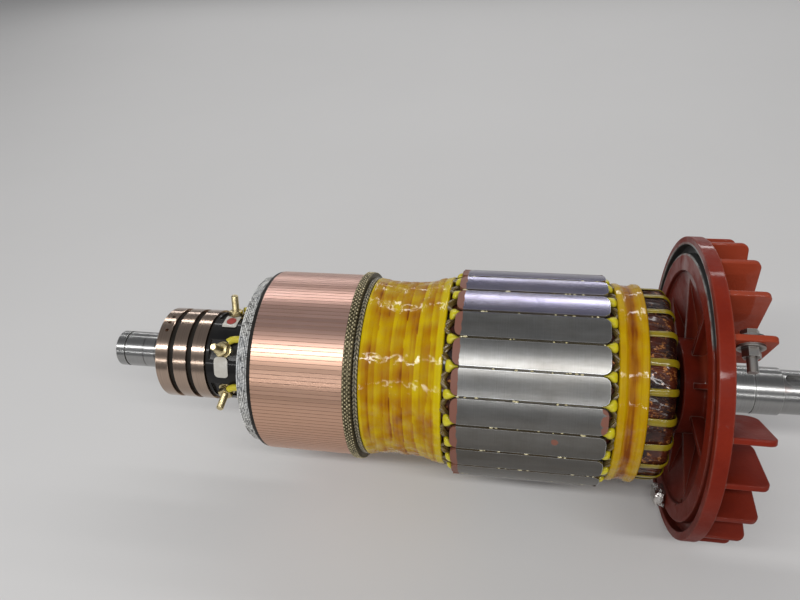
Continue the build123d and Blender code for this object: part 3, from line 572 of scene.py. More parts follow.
bare = inGroove * atTop * (calc("GREATER_THAN", along, low) * calc("LESS_THAN", along, high))
colour = layers(fanBare, colour, colour=bare)
for chip in fanBare["chips"]:
    colour = layers(fanBare, colour, chip=spot(*chip, ragged=0.8))
onFace = spread(along, *fanBare["face"])
patches = blotch(26.0, 0.44, 0.1, seed=8.0)
for lipRadius, half in fanBare["lips"]:
    lip = spread(abs(outward - lipRadius), half, half * 0.6)
    colour = layers(fanBare, colour, worn=lip * onFace * (patches * atTop))
fromTop = abs(around - topTurn)
glossy = blotch(60.0, 0.56, 0.1, seed=7.0) * spread(fromTop, 0.2, 0.1, 0.25, 0.65)
# painted shade: the lower part of the fan is darkened
dusty = spread(fromTop, 0.17, 0.27) * 0.35
# painted light: the upper blades are lightened
onBlades = spread(fromTop, 0.16, 0.08) * spread(along, *fanBare["blades"])
faded = onBlades * (fanBare["fading"] - bare * fanBare["fading"])
finishWith(layers(fanBare, colour, dust=dusty, faded=faded), coat=glossy)

# Wire and solder under varnish: copper shows through where the varnish is thin
windingLook = {
    "varnish": (0.016, 0.006, 0.005), "thin": (0.105, 0.022, 0.008), "copper": (0.80, 0.33, 0.09),
}
newFinish("varnishedWinding", roughness=0.3, coat=0.5, coatRoughness=0.06, specular=0.12)
thin = blotch(44.0, 0.53, 0.10)
glint = clamped(thin + 0.15) * blotch(4.5, 0.60, 0.05, seed=2.0)
finishWith(layers(windingLook, "varnish", thin=thin, copper=glint), metallic=glint * 0.8,
           height=fineNoise(350.0, 3.0), depth=0.06)

# Solder-wiped riser tops: olive brass with light crests
riserLook = {"low": (0.040, 0.030, 0.010), "high": (0.80, 0.70, 0.44), "crests": (137.55, 138.2)}
newFinish("solderedRisers", metallic=0.7, roughness=0.34)
along, around, outward = useGroup(shaftPlace)
wipe = blotch(5.0, 0.48, 0.14)
tone = clamped(spread(outward, *riserLook["crests"]) + 0.12) * (0.4 + wipe * 0.6)
finishWith(layers(riserLook, "low", high=tone), 0.3 + wipe * 0.2, height=wipe, depth=0.5)

# Cord under varnish: slanting strands with dark marks between them, and painted shade where the surface sinks
cordLooks = {
    "wovenGlass": {
        "colour": (0.92, 0.91, 0.87), "gap": (0.016, 0.015, 0.013), "tint": (0.46, 0.5, 0.56),
        "strands": 150, "slant": 0.12, "roughness": 0.45, "coat": 0.3, "depth": 1.2, "dashes": 0.4,
        "weave": 0.45, "specks": 0.15, "streaks": 0.75},
    "darkCord": {
        "colour": (0.44, 0.38, 0.24), "gap": (0.01, 0.008, 0.005), "tint": (0.05, 0.035, 0.02),
        "strands": 170, "slant": 0.5, "roughness": 0.3, "coat": 0.7, "depth": 1.2, "dashes": 0.3,
        "weave": 0.2, "specks": 0.5, "streaks": 0.0},
}
for name, look in cordLooks.items():
    newFinish(name, roughness=look["roughness"], coat=look["coat"], coatRoughness=0.15, specular=0.4)
    along, around, outward = useGroup(shaftPlace)
    patchy = blotch(7.0, 0.5, 0.2)
    strand = calc("PINGPONG", around * look["strands"] + along * look["slant"] + patchy * 0.25, 0.5)
    # the crest is low where the cord's surface sinks, and the gap colour laid there is painted shade
    crest = put("Attribute", out="Fac", attribute_name="crest")
    dashes = roundNoise(along, around, 0.17, 52.0, Detail=2.0)   # short marks that lie across the turns
    streaks = roundNoise(along, around, 0.9, 8.0, Detail=3.0)   # longer ones that run round with them
    gap = larger(
        spread(strand + patchy * 0.22, 0.34, 0.16) * look["weave"],
        blotch(3.2, 0.6, 0.05, seed=4.0) * look["specks"], spread(crest, 1.0, 0.35, 0.0, 0.95),
        spread(dashes, look["dashes"], look["dashes"] - 0.05), spread(streaks, 0.5, 0.38) * look["streaks"])
    tint = blotch(50.0, 0.56, 0.08) * 0.4
    # painted shade and dirt in the corners, in the gap colour
    dirt = useGroup(cornerDirt, Reach=4.0, Amount=0.8)
    colour = layers(look, "colour", gap=gap, tint=tint)
    finishWith(layers(look, colour, gap=dirt), height=strand, depth=look["depth"])

# Plain pale floor
floorLook = {"colour": (0.66, 0.65, 0.64), "wash": (0.70, 0.69, 0.68)}
newFinish("paleFloor", roughness=0.75, specular=0.2)
finishWith(layers(floorLook, "colour", wash=blotch(900.0, 0.5, 0.4)))
print("finishes made:", len(finishes))

# Which finish each node of the model takes
nodeFinishes = {
    "turnedSteel": ["shaft"],
    "ringBronze": ["slip_ring_1", "slip_ring_2", "slip_ring_3"],
    "blackInsulation": ["slip_ring_sleeve"],
    "blackMoulding": ["terminal_hub"],
    "studBrass": [f"terminal_stud_{i}" for i in range(1, 7)],
    "leadSleeving": ["terminal_leads"],
    "hubSteel": ["commutator_hub", "commutator_clamp_ring"],
    "coneMica": ["commutator_cone_front", "commutator_cone_rear"],
    "commutatorCopper": ["commutator_segments"],
    "wovenGlass": ["commutator_band"],
    "solderedRisers": ["commutator_risers"],
    "darkCord": ["riser_ring"],
    "varnishedWinding": ["front_winding", "rear_winding"],
    "amberBanding": ["front_banding", "rear_banding"],
    "coreSteel": ["core_laminations"],
    "wedgeBoard": ["slot_wedges"],
    "coilInsulation": ["slot_coils"],
    "yellowCuffs": ["slot_liners_front", "slot_liners_rear"],
    "supportIron": ["coil_support_front", "coil_support_rear"],
    "tapeTies": ["winding_ties"],
    "fanRed": ["fan"],
    "zincSteel": ["balance_bolt", "balance_washers", "balance_nut", "balance_weight", "terminal_washers"],
}
for name, members in nodeFinishes.items():
    for member in members:
        mesh = nodes[member].data
        mesh.materials.clear()
        mesh.materials.append(finishes[name])
print("nodes dressed")


# Modelling helpers

def spinOutline(bm, outline, steps):
    # a closed outline of (x, radius) in mm, turned about the shaft
    corners = [bm.verts.new((x * mm, 0, r * mm)) for x, r in outline]
    sides = [bm.edges.new(pair) for pair in zip(corners, corners[1:] + corners[:1])]
    bmesh.ops.spin(bm, geom=corners + sides, cent=(0, 0, 0), axis=(1, 0, 0), angle=2 * pi,
                   steps=steps, use_merge=True)
    bmesh.ops.remove_doubles(bm, verts=bm.verts, dist=1e-6)
    bmesh.ops.recalc_face_normals(bm, faces=bm.faces)


def polar(vert):
    return vert.co.x / mm, hypot(vert.co.y, vert.co.z) / mm, atan2(vert.co.z, vert.co.y)


def setRadius(vert, radius):
    # radius in mm
    scale = radius * mm / max(hypot(vert.co.y, vert.co.z), 1e-9)
    vert.co.y *= scale
    vert.co.z *= scale


def surfaceNoise(x, turn, lengthwise, roundwise, shift=0):
    # noise without a seam round the shaft
    return noise.noise(Vector((x * lengthwise, cos(turn) * roundwise, sin(turn) * roundwise + shift)))


def dent(bm, scale, depth, *seed):
    # uneven hand-made surface, depth in mm
    for vert in bm.verts:
        vert.co += noise.noise_vector(vert.co * scale + Vector(seed)) * depth * mm


upright = Matrix.Rotation(radians(-90), 4, "X")   # local Z becomes the direction out from the shaft
lyingAlong = Matrix.Rotation(radians(-90), 4, "Y")   # local Z becomes the direction along the shaft


def aroundShaft(angle):
    return Matrix.Rotation(radians(angle), 4, "X")


def movedTo(x, out, across=0):
    return Matrix.Translation(Vector((x, out, across)) * mm)


def evenly(count, first):
    return [first + 360 / count * i for i in range(count)]


def prism(bm, sides, radius, depth, matrix, top=None):
    # a round or many-sided rod, sizes in mm; gives its edges
    made = bmesh.ops.create_cone(bm, cap_ends=True, segments=sides, radius1=radius * mm,
                                 radius2=(top or radius) * mm, depth=depth * mm, matrix=matrix)
    return list({edge for vert in made["verts"] for edge in vert.link_edges})


def breakEdges(bm, edges, width):
    bmesh.ops.bevel(bm, geom=edges, offset=width * mm, offset_type="OFFSET", segments=2, profile=0.5,
                    affect="EDGES", material=-1)


def meshOf(name, bm):
    mesh = bpy.data.meshes.new(name)
    bm.to_mesh(mesh)
    bm.free()
    return mesh


def keepPiece(name, bm, finish, replaced=(), sharp=40):
    # the mesh becomes a piece that rides on the body
    mesh = meshOf(name, bm)
    mesh.materials.append(finishes[finish])
    mesh.polygons.foreach_set("use_smooth", [True] * len(mesh.polygons))
    mesh.set_sharp_from_angle(angle=radians(sharp))
    piece = bpy.data.objects.new(name, mesh)
    bpy.context.scene.collection.objects.link(piece)
    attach(piece, "root")
    if replaced:
        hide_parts(*replaced)
    print("made", name, len(mesh.polygons), "faces")


def copiesAround(bm, source, angles, jitter=0.0):
    # turned copies of everything in source, which is freed
    mesh = meshOf("copySource", source)
    for angle in angles:
        before = len(bm.verts)
        bm.from_mesh(mesh)
        bm.verts.ensure_lookup_table()
        swing = angle + chance.uniform(-jitter, jitter)
        bmesh.ops.transform(bm, matrix=aroundShaft(swing), verts=bm.verts[before:])
    bpy.data.meshes.remove(mesh)


def ringAt(bm, place, heading, halfOut, halfAcross, sides, caps):
    # an oval ring of edges across a path; place is (x, radius, across) in mm
    facing = Vector(heading).to_track_quat("Z", "Y").to_matrix().to_4x4()
    matrix = movedTo(*place) @ facing @ Matrix.Diagonal((halfOut * mm, halfAcross * mm, 1, 1))
    made = bmesh.ops.create_circle(bm, cap_ends=caps, segments=sides, radius=1.0, matrix=matrix)
    return sorted({edge for vert in made["verts"] for edge in vert.link_edges}, key=lambda e: e.index)


def loft(stations, sides):
    # a closed body through oval rings, given as (place, heading, halfOut, halfAcross)
    bm = bmesh.new()
    last = None
    for number, station in enumerate(stations):
        edges = ringAt(bm, *station, sides, caps=number in (0, len(stations) - 1))
        if last:
            bmesh.ops.bridge_loops(bm, edges=last + edges)
        last = edges
    bmesh.ops.recalc_face_normals(bm, faces=bm.faces)
    return bm


def alongPath(points, halfOut, halfAcross):
    # stations for loft, headed along a path of (x, radius, across) points
    stations = []
    for i, point in enumerate(points):
        before, after = points[max(0, i - 1)], points[min(len(points) - 1, i + 1)]
        stations.append((point, Vector(after) - Vector(before), halfOut, halfAcross))
    return stations


# First slip ring, with three small drillings

drilledRing = {"left": -861.0, "right": -841.0, "outer": 69.0, "edge": 0.8, "bore": 53.0, "depth": 7.0,
               "rows": 6}
left, right, outer, edge, bore, depth, rows = drilledRing.values()
outline = [(left, bore), (left, outer - edge)]
outline += [(left + edge + (right - left - 2 * edge) * i / rows, outer) for i in range(rows + 1)]
outline += [(right, outer - edge), (right, bore)]
bm = bmesh.new()
spinOutline(bm, outline, 240)
blankMesh = meshOf("ringBlank", bm)
bm = bmesh.new()
for x, angle in ringDots["spots"]:
    prism(bm, 20, ringDots["size"], 2 * depth, aroundShaft(angle) @ movedTo(x, outer) @ upright)
drillMesh = meshOf("ringDrills", bm)
blank, drills = [bpy.data.objects.new(mesh.name, mesh) for mesh in (blankMesh, drillMesh)]
for helper in (blank, drills):
    bpy.context.scene.collection.objects.link(helper)
drilling = blank.modifiers.new("drilling", "BOOLEAN")
drilling.operation, drilling.solver, drilling.object = "DIFFERENCE", "EXACT", drills
drilledMesh = bpy.data.meshes.new_from_object(blank.evaluated_get(bpy.context.evaluated_depsgraph_get()))
bm = bmesh.new()
bm.from_mesh(drilledMesh)
for helper in (blank, drills):
    bpy.data.objects.remove(helper)
for mesh in (blankMesh, drillMesh, drilledMesh):
    bpy.data.meshes.remove(mesh)
keepPiece("slip_ring_drilled", bm, "ringBronze", ["slip_ring_1"], sharp=30)

# Mica between the copper bars, undercut below their tops

micaSheets = {"count": 144, "first": 90.0, "left": -683.0, "right": -556.0, "inner": 118.0, "outer": 133.7,
              "thickness": 0.78}
count, first, left, right, inner, outer, thickness = micaSheets.values()
bm, one = bmesh.new(), bmesh.new()
bmesh.ops.create_cube(one, size=1.0, matrix=movedTo((left + right) / 2, (inner + outer) / 2)
                      @ Matrix.Diagonal(((right - left) * mm, (outer - inner) * mm, thickness * mm, 1)))
copiesAround(bm, one, evenly(count, first))
keepPiece("mica_sheets", bm, "micaSheet")

# Solder beads in rows on the risers

solderBeads = {"count": 144, "rows": (-553.4, -550.5, -547.6, -544.7), "radius": 137.3,
               "size": (1.35, 1.6, 1.9), "wander": 0.35, "swing": 0.15}
count, rows, radius, beadSize, wander, most = solderBeads.values()
bm = bmesh.new()
for number, row in enumerate(rows):
    for i in range(count):
        size = [s * chance.uniform(0.75, 1.15) for s in beadSize]
        place = movedTo(row + chance.uniform(-1, 1) * wander, radius + chance.uniform(-1, 1) * wander)
        swing = 360 / count * (i + 0.5 * (number % 2)) + chance.uniform(-most, most)
        bmesh.ops.create_icosphere(bm, subdivisions=1, radius=mm,
                                   matrix=aroundShaft(swing) @ place @ Matrix.Diagonal((*size, 1)))
keepPiece("solder_beads", bm, "solderedRisers", sharp=80)

# Cord band at the front of the bars

cordBand = {"left": -707.5, "right": -690.0, "inner": 116.0, "outer": 125.5, "turns": 7, "swell": 1.3}
left, right, inner, outer, turns, swell = cordBand.values()
width = (right - left) / turns
outline = [(left, inner)]
for i in range(turns):
    for share in (0.0, 0.12, 0.3, 0.5, 0.7, 0.88):
        rise = swell * abs(sin(pi * share)) ** 0.6
        outline.append((left + width * (i + share), outer - swell + rise))
outline += [(right, outer - swell), (right, inner)]
bm = bmesh.new()
spinOutline(bm, outline, 300)
# crest: below 1 where the surface sinks; the finish paints shade there
crestLayer = bm.verts.layers.float.new("crest")
for vert in bm.verts:
    x, r, turn = polar(vert)
    vert[crestLayer] = 1.0
    if r > inner + 1:
        wobble = surfaceNoise(x, turn, 0.45, 17)
        stitch = surfaceNoise(x, turn, 0.3, 48, shift=7)
        setRadius(vert, min(r + 0.9 * wobble + 0.5 * stitch, outer))
        vert[crestLayer] = 1.0 + min(0.0, 1.5 * wobble + 0.3)
keepPiece("commutator_cord_band", bm, "wovenGlass", ["commutator_band"], sharp=70)

# Black collar between the cord band and the bars

darkCollar = {"left": -689.6, "right": -684.2, "inner": 119.0, "outer": 133.2, "rounding": 1.0}
left, right, inner, outer, rounding = darkCollar.values()
bm = bmesh.new()
spinOutline(bm, [
    (left, inner), (left, outer - rounding), (left + rounding * 0.3, outer - rounding * 0.3),
    (left + rounding, outer), (right, outer), (right, inner)], 192)
keepPiece("bar_end_collar", bm, "blackInsulation", sharp=50)

# Cords wound beside the risers: the x of each, and how many strands it crosses in a turn, negative
# where they lie the other way

riserCords = {"cords": ((-541.2, 130), (-537.8, -130)), "centreRadius": 129.3, "radius": 1.8, "depth": 0.9,
              "inner": 124.0, "outer": 131.0, "points": 10, "around": 900}
cords, centreRadius, radius, depth, inner, outer, count, steps = riserCords.values()
for number, (middle, strands) in enumerate(cords):
    outline = [(middle - radius, inner)]
    for i in range(count + 1):
        swing = pi * (1 - i / count)
        outline.append((middle + radius * cos(swing), centreRadius + radius * sin(swing)))
    outline.append((middle + radius, inner))
    bm = bmesh.new()
    spinOutline(bm, outline, steps)
    # crest: the strands' height; the finish paints shade between them
    crestLayer = bm.verts.layers.float.new("crest")
    for vert in bm.verts:
        x, r, turn = polar(vert)
        vert[crestLayer] = 0.0
        if r > centreRadius - 0.1:
            lay = strands * turn + (x - middle) * 1.1
            wander = noise.noise(Vector((cos(turn) * 11, sin(turn) * 11, number * 7)))
            crest = abs(sin(lay / 2 + wander * 2)) ** 0.7
            setRadius(vert, min(r + depth * (crest - 0.8) + 0.25 * wander, outer))
            vert[crestLayer] = crest
    keepPiece(f"riser_cord_{number + 1}", bm, "darkCord", ["riser_ring"], sharp=60)


# Resin-soaked tape bands

def windBand(name, band, replaced):
    # turns of tape laid over a core line, each wandering a little as it goes round
    left, right, inner, steps, wander = [band[key] for key in ("left", "right", "inner", "steps", "wander")]
    length = right - left
    outline = [(left, inner)]
    outline += [(left + length * i / steps, inner + 3) for i in range(steps + 1)]
    outline.append((right, inner))
    bm = bmesh.new()
    spinOutline(bm, outline, band["around"])
    tapes = []
    for i in range(band["tapes"]):
        tapes.append({
            "middle": left + length * (i + 0.5) / band["tapes"] + chance.uniform(-1, 1) * wander,
            "half": band["tapeWidth"] / 2 * chance.uniform(0.75, 1.2),
            "thick": chance.uniform(0.35, 1.0), "seed": chance.uniform(0, 50),
            "tone": chance.uniform(0, 1),
        })
    resin = bm.verts.layers.float.new("resin")
    for vert in bm.verts:
        x, r, turn = polar(vert)
        if r < inner + 1:
            continue
        lift, tone, seam, slope = 0.0, 0.5, 1.0, 0.5
        for tape in tapes:
            loop = Vector((cos(turn), sin(turn), tape["seed"]))
            tuck = noise.noise(loop * 2.4 + Vector((9, 4, 2)))
            offset = (x - tape["middle"] - 2 * wander * noise.noise(loop * 0.9)) / tape["half"]
            hump = (1 - offset ** 4 / 2.1) * tape["thick"] * (0.85 + 0.6 * tuck)
            if abs(offset) < 1.2 and hump > lift:
                lift, tone, seam = hump, tape["tone"] + 0.3 * tuck, abs(offset)
                slope = 0.5 + 0.42 * offset
        lumps = surfaceNoise(x, turn, 0.05, 7)
        fine = surfaceNoise(x, turn, 0.16, 22)
        share = (x - left) / length
        crown = band["crown"](share)
        inside = max(0.0, band["edge"] - min(share, 1 - share) * length)
        rounding = band["edge"] - max(0.0, band["edge"] ** 2 - inside ** 2) ** 0.5
        surface = crown - band["thick"] * (1 - lift) + band["lumps"] * (0.7 * lumps + 0.3 * fine) - rounding
        setRadius(vert, min(surface, crown + 0.2))
        pooled = max(0.0, seam - 0.8) * 0.4   # resin lies thicker and browner beside a tape's edge
        tone = min(1.0, max(0.0, 0.55 * tone + 0.5 * slope))
        vert[resin] = band["tone"](share, tone, lumps) + pooled
    keepPiece(name, bm, "amberBanding", replaced, sharp=60)


def frontTone(share, tone, lumps):
    # bright at the core end, brown-orange patches elsewhere
    value = 0.16 + 0.68 * tone + 0.28 * lumps
    if share > 0.91:
        value = 0.06 + 0.1 * tone
    elif share < 0.05:
        value -= 0.15
    return value


def frontCrown(share):
    # waisted between the risers and the core, radii in mm
    atRisers, atCore, waist = 132.0, 138.5, 7.75 * 0.97
    return atRisers + (atCore - atRisers) * share - waist * 4 * share * (1 - share)


def rearTone(share, tone, lumps):
    # an orange-brown valley between two yellow ridges
    valley = max(0.0, 1 - abs(share - 0.47 - 0.06 * lumps) / 0.24)
    return 0.42 + 0.1 * tone + 0.06 * lumps + (0.43 + 0.08 * lumps) * min(1.0, valley * 1.5)


def rearCrown(share):
    # two ridges with a rounded valley between them, in mm
    ridge, deep = 137.3, 2.4
    valley = max(0.0, 1 - abs(share - 0.5) / 0.27)
    return ridge - deep * (1 - (1 - min(1.0, valley * 1.5)) ** 2)


frontBand = {
    "left": -536.0, "right": -424.0, "inner": 124.3, "steps": 100, "around": 320, "tapes": 16,
    "tapeWidth": 11.0, "wander": 2.6, "thick": 2.6, "lumps": 1.0, "edge": 3.0,
    "tone": frontTone, "crown": frontCrown,
}
windBand("front_tape_band", frontBand, ["front_banding"])
rearBand = {
    "left": -206.5, "right": -169.5, "inner": 131.3, "steps": 36, "around": 300, "tapes": 4,
    "tapeWidth": 12.0, "wander": 0.8, "thick": 0.7, "lumps": 0.6, "edge": 3.0,
    "tone": rearTone, "crown": rearCrown,
}
windBand("rear_tape_band", rearBand, ["rear_banding"])

# Cuffs: varnished liners standing out of the slots, pinched where they enter between the teeth

coreEnds = {"front": (-411.0, -1), "rear": (-217.0, 1)}   # each end's face, and which way is out
slotAngles = evenly(coreLook["teeth"], coreLook["firstSlot"])
# distance out of the core, middle radius, half height, half width
cuffRings = (
    (-8.0, 141.2, 2.6, 1.6), (-4.5, 140.6, 3.3, 2.4), (-1.5, 139.8, 4.2, 4.4), (1.0, 138.6, 5.0, 6.9),
    (3.6, 137.6, 5.4, 8.0), (6.4, 136.8, 5.2, 8.1), (8.6, 135.8, 4.4, 7.0), (9.6, 135.0, 3.0, 4.8))
for side, (face, way) in coreEnds.items():
    bm = bmesh.new()
    for i, angle in enumerate(slotAngles):
        reach, plump, lean = chance.uniform(0.85, 1.1), chance.uniform(0.85, 1.12), chance.uniform(-0.9, 0.9)
        stations = []
        for out, middle, halfOut, halfAcross in cuffRings:
            if out > 0:
                place, halfAcross = (face + way * out * reach, middle, lean * out / 8), halfAcross * plump
            else:
                place = (face + way * out, middle, 0)
            stations.append((place, (way, 0, 0), halfOut, halfAcross))
        one = loft(stations, 12)
        dent(one, 260, 0.5, i * 7, 0, 0)
        copiesAround(bm, one, [angle])
    keepPiece("slot_cuffs_" + side, bm, "yellowCuffs", ["slot_liners_" + side], sharp=70)

# Coil ends: varnished bundles that leave each slot and cross under the bands

coilEnds = {"legs": 3, "halfOut": 2.3, "halfAcross": 3.0, "depth": 133.6, "layer": 1.9, "lower": 0.9,
            "reach": {"front": 14.0, "rear": 12.0}}
for side, (face, way) in coreEnds.items():
    bm = bmesh.new()
    for i, angle in enumerate(slotAngles):
        for hand in (-1, 1):
            for leg in range(coilEnds["legs"]):
                depth = coilEnds["depth"] - leg * coilEnds["layer"] - (coilEnds["lower"] if hand > 0 else 0)
                depth += chance.uniform(-0.4, 0.4)
                path = [(face - way * 1.0, depth - 1.5, hand * 1.5)]
                for share in (0.2, 0.45, 0.7, 1.0):
                    path.append((face + way * coilEnds["reach"][side] * share,
                                 depth - 1 + sin(pi * share) * 1.4, hand * (1.5 + share * (12 + 3 * leg))))
                one = loft(alongPath(path, coilEnds["halfOut"], coilEnds["halfAcross"]), 8)
                dent(one, 210, 0.8, i, leg, hand)
                copiesAround(bm, one, [angle])
    keepPiece("coil_ends_" + side, bm, "coilEnds", sharp=80)

# Rear winding: a dark body with strands of varnished wire laid askew over its rounded end

rearCoil = {"left": -217.0, "bandLeft": -206.5, "right": -135.6, "inner": 98.0, "underBand": 127.8,
            "outer": 129.4, "round": 12.0, "faceRadius": 108.0}
left, bandLeft, right, inner, underBand, outer, rounding, faceRadius = rearCoil.values()
middleX, middleR = right - rounding, outer - rounding
outline = [(left, inner), (left, underBand), (bandLeft, underBand)]
outline += [(bandLeft + 5 * i, outer) for i in range(12)]
for i in range(9):
    swing = radians(90 * (1 - i / 8))
    outline.append((middleX + rounding * cos(swing), middleR + rounding * sin(swing)))
outline += [(right, faceRadius), (right - 1.4, inner)]
coilStrands = {"bundles": 48, "each": 5, "apart": 2.6, "wire": 0.95, "skew": 11.0, "left": -173.0,
               "limit": 131.1}
bundles, each, apart, wire, skew, strandLeft, limit = coilStrands.values()
bm = bmesh.new()
spinOutline(bm, outline, 240)
for vert in bm.verts:
    x, r, turn = polar(vert)
    if r > 105:
        bundle = cos((turn - x * 0.004) * bundles)
        setRadius(vert, r + 0.35 * bundle + 0.9 * surfaceNoise(x, turn, 0.09, 16) - 0.35)
keepPiece("rear_coil_body", bm, "varnishedWinding", ["rear_winding"], sharp=70)

bm = bmesh.new()
for bundle, angle in enumerate(evenly(bundles, 0)):
    for strand in range(each):
        lift = 0.5 + chance.uniform(-2.3, -0.8)
        across = (strand - (each - 1) / 2) * apart + chance.uniform(-0.7, 0.7)
        lean = skew * (1 if bundle % 2 else 0.55) + chance.uniform(-3, 3)
        path = [(x, outer + lift, across + lean * (x - strandLeft) / 40)
                for x in (strandLeft, -164.0, -156.0, middleX)]
        for degrees in (68, 45, 22, 0):
            swing, reach = radians(degrees), rounding + lift
            path.append((middleX + reach * cos(swing), middleR + reach * sin(swing),
                         across + lean * (0.75 + (90 - degrees) / 180)))
        path.append((path[-1][0] - 0.6, faceRadius, path[-1][2] + lean * 0.15))
        one = loft(alongPath(path, wire, wire), 5)
        dent(one, 60, 0.35, strand, bundle, 0)
        for vert in one.verts:
            if polar(vert)[1] > limit:
                setRadius(vert, limit)
        copiesAround(bm, one, [angle], jitter=0.3)
keepPiece("rear_coil_strands", bm, "varnishedWinding", sharp=80)

# Tape ties over the winding's rounded end, soft-edged and soaked in resin

tapeTies = {"count": 22, "first": 123.5, "halfOut": 1.35, "halfAcross": 4.6, "arcX": -147.0,
            "arcRadius": 118.0, "arc": 13.3, "left": -171.0, "outer": 131.35, "face": -133.75}
count, first, halfOut, halfAcross, arcX, arcRadius, arc, left, outer, face = tapeTies.values()
bm = bmesh.new()
for i, angle in enumerate(evenly(count, first)):
    lean, width = chance.uniform(-0.8, 0.8), chance.uniform(0.85, 1.08)
    path = [(x, outer) for x in (left, -166.0, -160.0, -154.0, -149.0)]
    for degrees in (75, 60, 45, 30, 15, 0):
        path.append((arcX + arc * cos(radians(degrees)), arcRadius + arc * sin(radians(degrees))))
    path += [(face, 113.5), (face, 109.0)]
    path = [(x, out, lean * (x - left) / 20) for x, out in path]
    one = loft(alongPath(path, halfOut, halfAcross * width), 12)
    dent(one, 120, 0.35, i * 3, 0, 0)
    copiesAround(bm, one, [angle])
keepPiece("tape_ties", bm, "tapeTies", ["winding_ties"], sharp=70)

# Varnish drops along the slot mouths

varnishDrops = {"each": 8, "left": -404.0, "right": -224.0, "radius": 147.0, "small": 0.8, "large": 1.7}
each, left, right, radius, small, large = varnishDrops.values()
bm = bmesh.new()
for angle in slotAngles:
    for drop in range(each):
        x = chance.uniform(left, right)
        size = chance.uniform(small, large)
        swing = angle + chance.uniform(-0.25, 0.25)
        drawn = Matrix.Diagonal((size * chance.uniform(1.0, 2.4), size * 0.9, size * 0.9, 1))
        bmesh.ops.create_uvsphere(bm, u_segments=8, v_segments=5, radius=mm,
                                  matrix=aroundShaft(swing) @ movedTo(x, radius) @ drawn)
keepPiece("varnish_drops", bm, "varnishDrops", sharp=80)

# Terminals: threaded studs with hexagon nuts over washers, and a lug under each nut

terminals = {
    "count": 6, "first": 9.5, "x": -756.0, "seat": 62.0, "sunk": 6.0, "tip": 98.5, "stud": 5.4, "thread": 1.5,
    "threadDepth": 0.4, "across": 19.0, "nut": 8.5, "washer": 25.0, "washerThick": 2.0, "lug": 5.5,
    "lugThick": 1.6,
}
(count, first, studX, seat, sunk, tip, stud, thread, threadDepth, across, nut, washer, washerThick, lug,
 lugThick) = terminals.values()
hexCorner = 1 / 1.732   # a hexagon's corner radius as a share of its width across the flats
angles = evenly(count, first)
bm = bmesh.new()
stations, out, turnNumber = [], seat - sunk, 0
while out < tip - 1.2:
    radius = stud - (threadDepth if turnNumber % 2 else 0)
    stations.append(((studX, out, 0), (0, 1, 0), radius, radius))
    out += thread / 2
    turnNumber += 1
for below, radius in ((1.1, stud - 0.4), (0, stud - 1.4)):   # the rounded tip
    stations.append(((studX, tip - below, 0), (0, 1, 0), radius, radius))
copiesAround(bm, loft(stations, 14), angles)
one = bmesh.new()
breakEdges(one, prism(one, 6, across * hexCorner, nut,
                      movedTo(studX, seat + washerThick + lugThick + nut / 2) @ upright), 0.8)
copiesAround(bm, one, angles)
lugPath = [(0.0, 64.8, 0.0), (6.0, 64.8, -6.0), (9.0, 66.5, -9.0), (12.0, 69.5, -12.5), (14.0, 70.3, -14.0)]
stations = alongPath([(studX + x, out, aside) for x, out, aside in lugPath], lugThick / 2, lug)
stations = [(place, heading, halfOut * (1 + 1.2 * i / 4), halfAcross * (1 - 0.45 * i / 4))
            for i, (place, heading, halfOut, halfAcross) in enumerate(stations)]   # it narrows to a barrel
copiesAround(bm, loft(stations, 12), angles)
keepPiece("terminal_bolts", bm, "studBrass", [f"terminal_stud_{i + 1}" for i in range(count)],
          sharp=35)

bm, one = bmesh.new(), bmesh.new()
edges = prism(one, 36, washer / 2, washerThick, movedTo(studX, seat + washerThick / 2) @ upright)
breakEdges(one, [edge for edge in edges if abs(edge.verts[0].co.y - edge.verts[1].co.y) < 1e-6], 0.35)
copiesAround(bm, one, angles)
keepPiece("terminal_discs", bm, "studBrass", ["terminal_washers"], sharp=35)

# Leads: sleeves that start at the lugs, swing off the flats and run on under the cord band

leadPath = {"points": ((9.6, 70.6, -11.2), (10.2, 70.5, -11.8), (14.5, 70.3, -14.4), (18.5, 70.2, -15.6),
                       (24.0, 70.2, -16.0), (36.0, 70.2, -16.0), (50.5, 70.2, -16.0)),
            "radius": 5.2, "sides": 16}
points = [(studX + x, out, aside) for x, out, aside in leadPath["points"]]
bm = bmesh.new()
copiesAround(bm, loft(alongPath(points, leadPath["radius"], leadPath["radius"]), leadPath["sides"]), angles,
             jitter=1.0)
keepPiece("terminal_sleeves", bm, "leadSleeving", ["terminal_leads"], sharp=50)

# Bare tags tied over the terminal hub, one with a plain red disc

